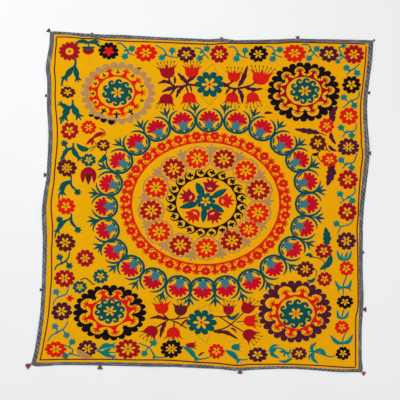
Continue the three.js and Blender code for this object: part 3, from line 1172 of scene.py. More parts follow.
@dataclass
class Tassels:
    """The small yarn tassels on the rim.

    Attributes:
        plans: one for each tassel, clockwise from the lower left corner.
        pitch: width of a lock.
        head_depth: depth of the bound head, edge outwards.
        head_rise: height of the head over the cloth's underside.
        strand: radius of a strand.
        strands_per_lock: strands for each lock of width.
        root: where the strands start in the head, as a share of its depth.
        seed: seed of the uneven lie.
    """

    plans: tuple[TasselPlan, ...] = (
        TasselPlan("left_low", "left", -0.579, 184, 0.014, 6, 44, Yarn.ROSE),
        TasselPlan("left_mid", "left", 0.178, 176, 0.022, 7, 40, Yarn.ROSE),
        TasselPlan("left_high", "left", 0.702, 180, 0.014, 6, 46, Yarn.PLUM),
        TasselPlan("corner_tl", "top_left", 0, 141, 0.0234, 7, 38, Yarn.ROSE),
        TasselPlan("top_left", "top", -0.713, 96, 0.009, 5, 40, Yarn.PLUM),
        TasselPlan("top_mid", "top", 0.142, 84, 0.012, 5, 44, Yarn.ROSE),
        TasselPlan("top_right", "top", 0.645, 92, 0.019, 6, 46, Yarn.ROSE),
        TasselPlan("corner_tr", "top_right", 0, 20, 0.010, 5, 60, Yarn.PLUM),
        TasselPlan("right_high", "right", 0.721, 4, 0.016, 6, 40, Yarn.PLUM),
        TasselPlan("right_mid", "right", 0.322, -6, 0.015, 7, 48, Yarn.ROSE),
        TasselPlan("right_low", "right", -0.333, 2, 0.011, 6, 42, Yarn.OLIVE),
        TasselPlan("right_foot", "right", -0.709, -4, 0.026, 7, 44, Yarn.ROSE),
        TasselPlan("corner_br", "bottom_right", 0, -30, 0.0245, 7, 34, Yarn.CRIMSON),
        TasselPlan("bottom_right", "bottom", 0.265, -94, 0.025, 8, 40, Yarn.CRIMSON),
        TasselPlan("bottom_left", "bottom", -0.660, -88, 0.029, 8, 42, Yarn.BROWN),
        TasselPlan("corner_bl", "bottom_left", 0, 207, 0.0392, 7, 30, Yarn.CRIMSON),
    )
    pitch: float = 0.00275
    head_depth: float = 0.007
    head_rise: float = 0.004
    strand: float = 0.00052
    strands_per_lock: int = 11
    root: float = 0.72
    seed: int = 11

    def build(self, dye: Dye) -> list[Piece]:
        """Make and dress every tassel.

        Args:
            dye: the shared effects.

        Returns:
            The tassels, in the order of the plans.
        """
        finishes = {yarn: YarnFinish(yarn).material(dye) for yarn in Yarn}
        chance = np.random.default_rng(self.seed)
        pieces = []
        for plan in self.plans:
            piece = self._tassel(plan, chance)
            piece.data.materials.append(finishes[plan.yarn])
            pieces.append(piece)
        return pieces

    def _root(self, plan: TasselPlan) -> tuple[Array, Array]:
        """Find where a tassel is sewn on.

        Args:
            plan: the tassel's plan.

        Returns:
            The point of the outer edge and the way out from it.
        """
        if plan.place in SIDE_ENDS:
            side = getattr(OUTLINE, plan.place)
            step = 0.01
            at = np.array([plan.at - step, plan.at, plan.at + step])
            before, point, after = side.point(at, 0.0)
            along = (after - before) / np.linalg.norm(after - before)
            out = np.array([-along[1], along[0]])
            return point, out if out @ point > 0 else -out
        heading = math.radians(plan.heading)
        return OUTLINE.corners(0.0)[plan.place], np.array([math.cos(heading), math.sin(heading)])

    def _tassel(self, plan: TasselPlan, chance: np.random.Generator) -> Piece:
        """Make one tassel: a bound head and loose strands.

        Args:
            plan: the tassel's plan.
            chance: the seeded generator.

        Returns:
            The tassel.
        """
        point, out = self._root(plan)
        beside = np.array([out[1], -out[0]])
        half = plan.locks * self.pitch / 2
        base = float(RELIEF.height(point))
        mesher = Mesher()
        self._head(mesher, point, out, beside, half, base)
        count = plan.locks * self.strands_per_lock
        heading = math.radians(plan.heading)
        for index in range(count):
            share = (index + 0.5) / count * 2 - 1
            layer = chance.random()
            swing = heading - share * math.radians(plan.fan) / 2 + chance.normal(0, 0.09)
            start = point + out * self.head_depth * self.root + beside * share * half * 0.92
            length = (plan.reach - self.head_depth * self.root) * (0.78 + 0.2 * chance.random())
            bend = chance.normal(0, 0.16)
            steps = np.linspace(0, 1, 6)[:, None]
            angle = swing + bend * steps
            flat = start + np.concatenate((np.cos(angle), np.sin(angle)), axis=1) * length * steps
            rise = (base + self.head_rise * (0.35 + 0.35 * layer)) * (1 - steps) ** 1.6
            z = self.strand + 0.0016 * layer + rise
            path = np.concatenate((flat, z), axis=1)
            radius = self.strand * (1 - 0.35 * steps[:, 0] ** 2)
            self._tube(mesher, path, radius, radius, 5, chance.random())
        return mesher.build("tassel_yarn_" + plan.name, 60)

    def _head(self, mesher: Mesher, point: Array, out: Array, beside: Array, half: float,
              base: float) -> None:
        """Add the bound head: a low barrel with three wraps round it.

        Args:
            mesher: where the form goes.
            point: the edge point that it is sewn to.
            out: the way out from the edge.
            beside: the way along the edge.
            half: half the head's width.
            base: height of the cloth's underside there.
        """
        steps = np.linspace(0, 1, 13)
        swell = np.sin(np.clip(steps, 0.06, 0.94) * math.pi) ** 0.45
        wraps = 1 + 0.07 * np.cos(steps * TURN * 4)
        flat = point + out * (0.0004 + steps[:, None] * self.head_depth)
        rise = (base + self.head_rise) / 2
        path = np.concatenate((flat, np.full((len(steps), 1), rise)), axis=1)
        self._tube(mesher, path, half * 1.05 * swell * wraps, rise * 0.98 * swell * wraps, 20, 0.35)

    def _tube(self, mesher: Mesher, path: Array, wide: Array, tall: Array, sides: int,
              tone: float) -> None:
        """Add a closed tube along a level path.

        Args:
            mesher: where the form goes.
            path: points along its middle.
            wide: half width at each point.
            tall: half height at each point.
            sides: corners of a section.
            tone: the form's tone.
        """
        along = np.gradient(path, axis=0)
        flat = along[:, :2] / np.linalg.norm(along[:, :2], axis=1, keepdims=True)
        across = np.stack((flat[:, 1], -flat[:, 0], np.zeros(len(flat))), axis=1)
        up = np.array([0.0, 0.0, 1.0])
        angles = np.arange(sides) / sides * TURN
        ring = across[:, None] * (np.cos(angles)[None, :, None] * wide[:, None, None])
        ring = ring + up * (np.sin(angles)[None, :, None] * tall[:, None, None])
        run = run_along(path)
        girth = angles[None] * wide[:, None]
        marks = np.stack((np.broadcast_to(run[:, None], girth.shape), girth), axis=-1)
        mesher.loft(path[:, None] + ring, marks, False, tone)


# Small motifs are drawn a little wider than tall, like the large ones.
STRETCH = 1.04
SQUASH = 0.96
RING_SQUASH = 0.97


@dataclass(frozen=True)
class Placing:
    """Where a motif sits on the chart.

    Attributes:
        x: chart x of its middle.
        y: chart y of its middle.
        wide: chart squares along x for one unit of the motif.
        tall: chart squares along y for one unit of the motif.
        turn: degrees clockwise from upright.
    """

    x: float
    y: float
    wide: float = STRETCH
    tall: float = SQUASH
    turn: float = 0.0

    @property
    def unit(self) -> float:
        """Metres for one unit of the motif."""
        return (self.wide + self.tall) / 2 * CHART.square

    def scaled(self, share: float) -> "Placing":
        """The same place for a motif drawn at a share of the size."""
        return Placing(self.x, self.y, self.wide * share, self.tall * share, self.turn)

    def chart(self, local: Array) -> Array:
        """Turn a motif's own positions into chart positions.

        Args:
            local: positions, the last axis right and up.

        Returns:
            The same positions on the chart.
        """
        turn = math.radians(self.turn)
        right = local[..., 0] * math.cos(turn) + local[..., 1] * math.sin(turn)
        up = local[..., 1] * math.cos(turn) - local[..., 0] * math.sin(turn)
        return np.stack((self.x + right * self.wide, self.y - up * self.tall), axis=-1)


def smooth(points: Array, steps: int) -> Array:
    """Run a soft curve through points.

    Args:
        points: the points, or rows of numbers that go with them.
        steps: new points for each span.

    Returns:
        The points of the curve.
    """
    line = np.concatenate((2 * points[:1] - points[1:2], points, 2 * points[-1:] - points[-2:-1]))
    t = np.linspace(0, 1, steps, endpoint=False)[:, None]
    spans = []
    for a, b, c, d in zip(line, line[1:], line[2:], line[3:]):
        bend = (2 * a - 5 * b + 4 * c - d) * t ** 2 + (3 * b - a - 3 * c + d) * t ** 3
        spans.append(b + ((c - a) * t + bend) / 2)
    return np.concatenate((*spans, points[-1:]))


def polar(turn: object, radius: object) -> Array:
    """Turn clockwise degrees from upright and a radius into right and up."""
    angle = np.radians(turn)
    return np.stack(np.broadcast_arrays(np.sin(angle) * radius, np.cos(angle) * radius), axis=-1)


def pronged(prongs: int, spread: float, notch: float, blunt: float, foot: tuple) -> Array:
    """Outline of a fan of prongs standing on a foot.

    Args:
        prongs: how many.
        spread: degrees between the outer prongs.
        notch: depth of the gaps, as the radius of their bottom.
        blunt: half the width of a tip, degrees.
        foot: right half of the foot, from the outer prong down, as right and up.

    Returns:
        The outline, clockwise from the foot's left.
    """
    turns = np.linspace(-spread / 2, spread / 2, prongs)
    corners = [(-right, up) for right, up in reversed(foot)]
    for k, turn in enumerate(turns):
        for side in (-blunt, blunt):
            corners.append(tuple(polar(turn + side, 1.0)))
        if k < prongs - 1:
            corners.append(tuple(polar((turn + turns[k + 1]) / 2, notch)))
    corners.extend(foot)
    return np.array(corners)


def scalloped(turns: Array, notch: float) -> Array:
    """Radius of a scalloped rim.

    Args:
        turns: places along it, with one scallop from each whole number to the next.
        notch: depth of the gaps between scallops.

    Returns:
        The radius at each place, 1 at the top of a scallop.
    """
    roundness = 0.97
    swing = 2 * (turns % 1) - 1
    return 1 - notch * (1 - np.sqrt(1 - roundness * swing ** 2))


def lobed(lobes: int, spread: float, notch: float, foot: tuple) -> Array:
    """Outline of a fan of round lobes standing on a foot.

    Args:
        lobes: how many.
        spread: degrees from the fan's left end to its right end.
        notch: depth of the gaps between lobes.
        foot: right half of the foot, from the fan's end down, as right and up.

    Returns:
        The outline, clockwise from the foot's left.
    """
    share = np.linspace(0, lobes, lobes * 6 + 1)
    rim = polar((share / lobes - 0.5) * spread, scalloped(share, notch))
    right = np.array(foot)
    return np.concatenate((right[::-1] * (-1, 1), rim, right))


def mirrored(*half: tuple[float, float]) -> Array:
    """Outline with two like halves, from its left half, which ends on the middle line."""
    left = np.array(half)
    return np.concatenate((left, left[-2::-1] * (-1, 1)))


BUD = pronged(5, 204, 0.6, 8, ((0.46, -0.64), (0.16, -1.05)))
TULIP = mirrored(
    (-0.2, -1.0), (-0.54, -0.86), (-0.84, -0.42), (-0.88, 0.0), (-0.94, 0.36), (-1.36, 0.92), (-0.62, 0.52),
    (-0.42, 0.62), (-0.24, 0.46), (0.0, 1.12),
)
CROWN = mirrored((-0.2, -0.86), (-0.4, -0.66), (-0.34, -0.4), (-0.6, 0.02), (-0.2, -0.16), (0.0, 0.26))
MAPLE = mirrored(
    (-0.12, -1.0), (-0.3, -0.5), (-1.0, -0.62), (-0.78, -0.2), (-1.05, 0.3), (-0.42, 0.2), (-0.3, 0.55),
    (0.0, 1.15),
)
PALMETTE = pronged(5, 164, 0.38, 6, ((0.3, -0.26), (0.28, -0.8)))
PEDESTAL = np.array(((-1.3, -1.75), (-0.64, -1.15), (-0.32, -0.5), (0.32, -0.5), (0.64, -1.15), (1.3, -1.75)))
SPROUT = pronged(5, 160, 0.5, 8, ((0.32, -0.3), (0.34, -0.9)))
FOOT = pronged(3, 150, 0.42, 10, ((0.3, -0.3), (0.34, -1.3)))
TAIL = pronged(3, 104, 0.4, 5, ((0.4, -0.2), (0.3, -0.8)))
FAN = pronged(5, 156, 0.54, 2.5, ((0.7, -0.22), (0.5, -0.7), (0.2, -0.9)))
FORK = pronged(3, 124, 0.42, 9, ((0.36, -0.4), (0.18, -1.3)))
DOME = mirrored((-1.0, -0.75), (-0.98, -0.1), (-0.74, 0.42), (-0.38, 0.8), (0.0, 0.96))
PLUME = lobed(7, 200, 0.34, ((0.62, -0.2), (0.36, -0.46), (0.12, -0.3)))
ROUND = polar(np.arange(10) * 36.0, 1.0)


class Heart(Enum):
    """The open middle of a rosette: petals, their reach and the open core, as shares."""

    SIX = (6, 0.50, 0.13)
    FIVE = (5, 0.50, 0.14)
    EIGHT = (8, 0.52, 0.15)
    ROUND_EYE = (1, 0.34, 0.34)
    WIDE = (7, 0.58, 0.16)
    EYE = (1, 0.11, 0.11)

    def radius(self, turns: Array) -> Array:
        """Radius of the opening.

        Args:
            turns: angles as shares of a full turn.

        Returns:
            The radius at each angle.
        """
        petals, reach, core = self.value
        swing = 2 * ((petals * turns) % 1) - 1
        petal_share = 0.68
        return core + (reach - core) * np.sqrt(np.clip(1 - (swing / petal_share) ** 2, 0, 1))


SIX, FIVE, EIGHT, ROUND_EYE, WIDE, EYE = Heart


# Sections of the stitched forms: share of the way across and share of the full height, which
# is below 0 where the rim lies in the cloth. A patch's shares run from its rim to its middle.
BAND_PROFILE = ((0.0, -1.0), (0.13, 0.72), (0.5, 1.0), (0.87, 0.72), (1.0, -1.0))
PATCH_PROFILE = ((1.0, -1.0), (0.84, 0.72), (0.45, 1.0))
RIBBON_PROFILE = ((-1.0, -1.0), (-0.72, 0.7), (0.0, 1.0), (0.72, 0.7), (1.0, -1.0))
# Half widths of a ribbon on the chart: the finest one, and the one that stands at full height.
FINEST_HALF = 0.06
FULL_HALF = 1.1
# The least height of a ribbon, as a share.
LEAST_HEIGHT = 0.45


@dataclass
class Stitching:
    """The patches of one part of the pattern, gathered by thread.

    Attributes:
        label: the part's name, at the start of its pieces' names.
        sink: how far a patch's rim lies in the cloth.
        layer: extra height of a patch that lies over another.
        crest: height of a full patch over the cloth.
        meshers: the forms of each thread.
        chance: the seeded generator of uneven work.
    """

    label: str
    sink: float = 0.0003
    layer: float = 0.00035
    crest: float = 0.0010
    meshers: dict[Thread, Mesher] = field(default_factory=dict)
    chance: np.random.Generator = field(default_factory=lambda: np.random.default_rng(5))

    def _mesher(self, thread: Thread) -> Mesher:
        """The forms of one thread."""
        return self.meshers.setdefault(thread, Mesher())

    def _stand(self, chart: Array, level: Array, layer: int) -> Array:
        """Stand chart positions on the cloth.

        Args:
            chart: chart positions.
            level: share of the crest, below 0 for a rim.
            layer: how many patches lie under this one.

        Returns:
            x, y and z in metres.
        """
        flat = CHART.place(chart)
        level = np.broadcast_to(level, flat.shape[:-1])
        proud = np.where(level < 0, -self.sink, level * self.crest + layer * self.layer)
        z = RELIEF.height(flat) + CLOTH_THICKNESS + proud
        return np.concatenate((flat, z[..., None]), axis=-1)

    def band(self, thread: Thread, placing: Placing, inner: object, outer: Array, layer: int = 0,
             full: float = 1.0) -> None:
        """Stitch a closed band round a middle.

        Args:
            thread: its silk.
            placing: where it sits.
            inner: inner radius, at equal steps of angle clockwise from upright.
            outer: outer radius at the same steps.
            layer: how many patches lie under it.
            full: its height as a share of the crest.
        """
        count = len(outer)
        inner = np.broadcast_to(inner, (count,))
        turns = np.arange(count + 1) / count
        way = polar(turns[:-1] * 360, 1.0)
        grid, marks = [], []
        for share, level in BAND_PROFILE:
            radius = inner + (outer - inner) * share
            grid.append(self._stand(placing.chart(way * radius[:, None]), level * full, layer))
            again = np.append(radius, radius[0])
            girth = turns * TURN * outer.mean() * 0.75
            marks.append(np.stack((again, girth), axis=-1) * placing.unit)
        tone = self.chance.random()
        self._mesher(thread).loft(np.stack(grid, axis=1), np.stack(marks, axis=1), True, tone)

    def patch(self, thread: Thread, placing: Placing, outline: Array, layer: int = 0,
              kernel: tuple[float, float] = (0.0, 0.0), full: float = 1.0) -> None:
        """Stitch a filled patch.

        Args:
            thread: its silk.
            placing: where it sits.
            outline: its corners, right and up.
            layer: how many patches lie under it.
            kernel: the point that all of its outline is seen from.
            full: its height as a share of the crest.
        """
        middle = np.array(kernel)
        arms = outline - middle
        rings = [
            self._stand(placing.chart(middle + arms * share), level * full, layer)
            for share, level in PATCH_PROFILE
        ]
        marks = [(middle + arms * share)[:, ::-1] * placing.unit for share, _ in PATCH_PROFILE]
        top = self._stand(placing.chart(middle), np.array(full), layer)
        foot = self._stand(placing.chart(middle), np.array(-1.0), 0)
        self._mesher(thread).cover(
            np.stack(rings), top, foot, np.stack(marks), middle[::-1] * placing.unit, self.chance.random(),
        )

    def ribbon(self, thread: Thread, points: object, widths: object, placing: Placing | None = None,
               steps: int = 4, layer: int = 0, full: float = 1.0) -> None:
        """Stitch a narrow run along a soft curve.

        Args:
            thread: its silk.
            points: points of its middle, on the chart or in the motif's own positions.
            widths: its width at each point, or at the start, middle and end.
            placing: where the motif sits, if the points are its own.
            steps: new points for each span.
            layer: how many patches lie under it.
            full: its height as a share of the crest.
        """
        line = np.array(points, float)
        width = np.array(widths, float)
        width = np.interp(np.linspace(0, 1, len(line)), np.linspace(0, 1, len(width)), width)
        curve = smooth(np.concatenate((line, width[:, None]), axis=1), steps)
        path, half = curve[:, :2], curve[:, 2] / 2
        if placing is not None:
            path = placing.chart(path)
            half = half * placing.unit / CHART.square
        half = np.maximum(half, FINEST_HALF)
        along = np.gradient(path, axis=0)
        along /= np.maximum(np.linalg.norm(along, axis=1, keepdims=True), 1e-9)
        across = np.stack((-along[:, 1], along[:, 0]), axis=-1)
        run = run_along(path)
        height = np.clip(half / FULL_HALF, LEAST_HEIGHT, 1.0) * full
        grid, marks = [], []
        for side, level in RIBBON_PROFILE:
            place = path + across * (half * side)[:, None]
            grid.append(self._stand(place, height * level, layer))
            marks.append(np.stack((run, half * side), axis=-1) * CHART.square)
        tone = self.chance.random()
        self._mesher(thread).loft(np.stack(grid, axis=1), np.stack(marks, axis=1), False, tone)

    def leaf(self, thread: Thread, points: object, width: float, teeth: int = 0, layer: int = 0,
             tail: float = 0.0) -> None:
        """Stitch a leaf, pointed at the end of its line.

        Args:
            thread: its silk.
            points: chart points from its stalk to its tip.
            width: its full width.
            teeth: teeth along each side, 0 for a plain edge.
            layer: how many patches lie under it.
            tail: size of the forked end, 0 for a plain tip.
        """
        share = np.linspace(0, 1, 4 * teeth + 1 if teeth else 9)
        line = smooth(np.array(points, float), 12)
        run = run_along(line)
        line = np.stack([np.interp(share * run[-1], run, line[:, k]) for k in (0, 1)], axis=-1)
        swell = np.sin(math.pi * np.clip(share, 0, 1) ** (1.5 if tail else 0.8)) ** 0.8
        swell = np.maximum(swell, 0.6 * share * (tail > 0))
        notch = 1.16 - 0.5 * (1 - (teeth * share) % 1) * (teeth > 0)
        self.ribbon(thread, line, width * (0.1 + 0.9 * swell * notch), steps=1 if teeth else 2, layer=layer)
        if tail:
            x, y = line[-1]
            fork = Placing(x, y, tail * STRETCH, tail * SQUASH, heading(line[-3], line[-1]))
            self.patch(thread, fork, TAIL, layer=layer)

    def rosette(self, thread: Thread, placing: Placing, petals: int, heart: Heart, dot: Thread | None,
                notch: float = 0.28) -> None:
        """Stitch a rosette: petals round an open flower, with a dot in its middle.

        Args:
            thread: its silk.
            placing: where it sits.
            petals: how many scallops.
            heart: its open middle.
            dot: the silk of the dot, or None.
            notch: depth of the gaps between petals.
        """
        count = petals * 9
        turns = np.arange(count) / count
        lot = self.chance.normal(0, 0.03, petals)
        wobble = smooth(np.append(lot, lot[0])[:, None], 9)[:-1, 0]
        outer = scalloped(petals * turns + 0.5 * petals * placing.turn / 360, notch) + wobble
        self.band(thread, placing, heart.radius(turns), outer)
        if dot is not None:
            small = Placing(placing.x, placing.y, placing.wide * 0.11, placing.tall * 0.11)
            self.patch(dot, small, ROUND, full=0.7)

    def bud(self, thread: Thread, x: float, y: float, turn: float, size: float = 3.3) -> None:
        """Stitch a small three-pointed bud of half length size, pointing turn degrees clockwise."""
        self.patch(thread, Placing(x, y, size * STRETCH, size * SQUASH, turn), BUD)

    def build(self, finishes: dict[Thread, Material]) -> list[tuple[Piece, Thread]]:
        """Make one piece of each thread's patches.

        Args:
            finishes: the material of each thread.

        Returns:
            The pieces with their threads.
        """
        made = []
        for thread, mesher in self.meshers.items():
            piece = mesher.build(f"{self.label}_{thread.label}")
            piece.data.materials.append(finishes[thread])
            made.append((piece, thread))
        return made


def heading(start: object, end: object) -> float:
    """Degrees clockwise from upright of the way between two chart positions."""
    return math.degrees(math.atan2(end[0] - start[0], start[1] - end[1]))


@dataclass(frozen=True)
class Rosette:
    """A rosette: its middle and full size on the chart, its silk and how it is drawn."""

    x: float
    y: float
    wide: float
    tall: float
    thread: Thread
    petals: int = 10
    heart: Heart = SIX
    dot: Thread | None = MAROON

    def stitch(self, work: Stitching) -> None:
        """Stitch it."""
        placing = Placing(self.x, self.y, self.wide * 0.515, self.tall * 0.525)
        work.rosette(self.thread, placing, self.petals, self.heart, self.dot)


@dataclass(frozen=True)
class Vine:
    """A stem with buds on short stalks and small leaves.

    Attributes:
        stem: chart points of the stem.
        buds: chart middles of the buds.
        leaves: chart lines of its leaves, each with its width last.
        silk: its silk.
        width: width of the stem.
        size: half the length of a bud.
    """

    stem: tuple
    buds: tuple = ()
    leaves: tuple = ()
    silk: Thread = GREEN
    width: float = 1.6
    size: float = 3.9

    def stitch(self, work: Stitching) -> None:
        """Stitch it."""
        work.ribbon(self.silk, self.stem, (self.width * 0.9, self.width * 1.2, self.width * 0.8))
        line = smooth(np.array(self.stem, float), 8)
        if len(self.buds) > 1:
            x, y = line[len(line) * 9 // 16]
            fork = heading(line[len(line) // 2], line[len(line) * 5 // 8])
            work.bud(self.silk, x - 1.6, y + 0.6, fork - 90, 1.9)
        for middle in self.buds:
            spot = np.array(middle)
            nearest = line[np.argmin(np.linalg.norm(line - spot, axis=1))]
            turn = heading(nearest, spot)
            way = (spot - nearest) / max(np.linalg.norm(spot - nearest), 1e-6)
            work.ribbon(self.silk, (nearest, spot - way * self.size * 0.5), (self.width,), steps=2)
            work.bud(self.silk, spot[0], spot[1], turn, self.size)
        for *line_points, width in self.leaves:
            work.leaf(self.silk, line_points, width, tail=width * 0.85 if width > 4.2 else 0.0)


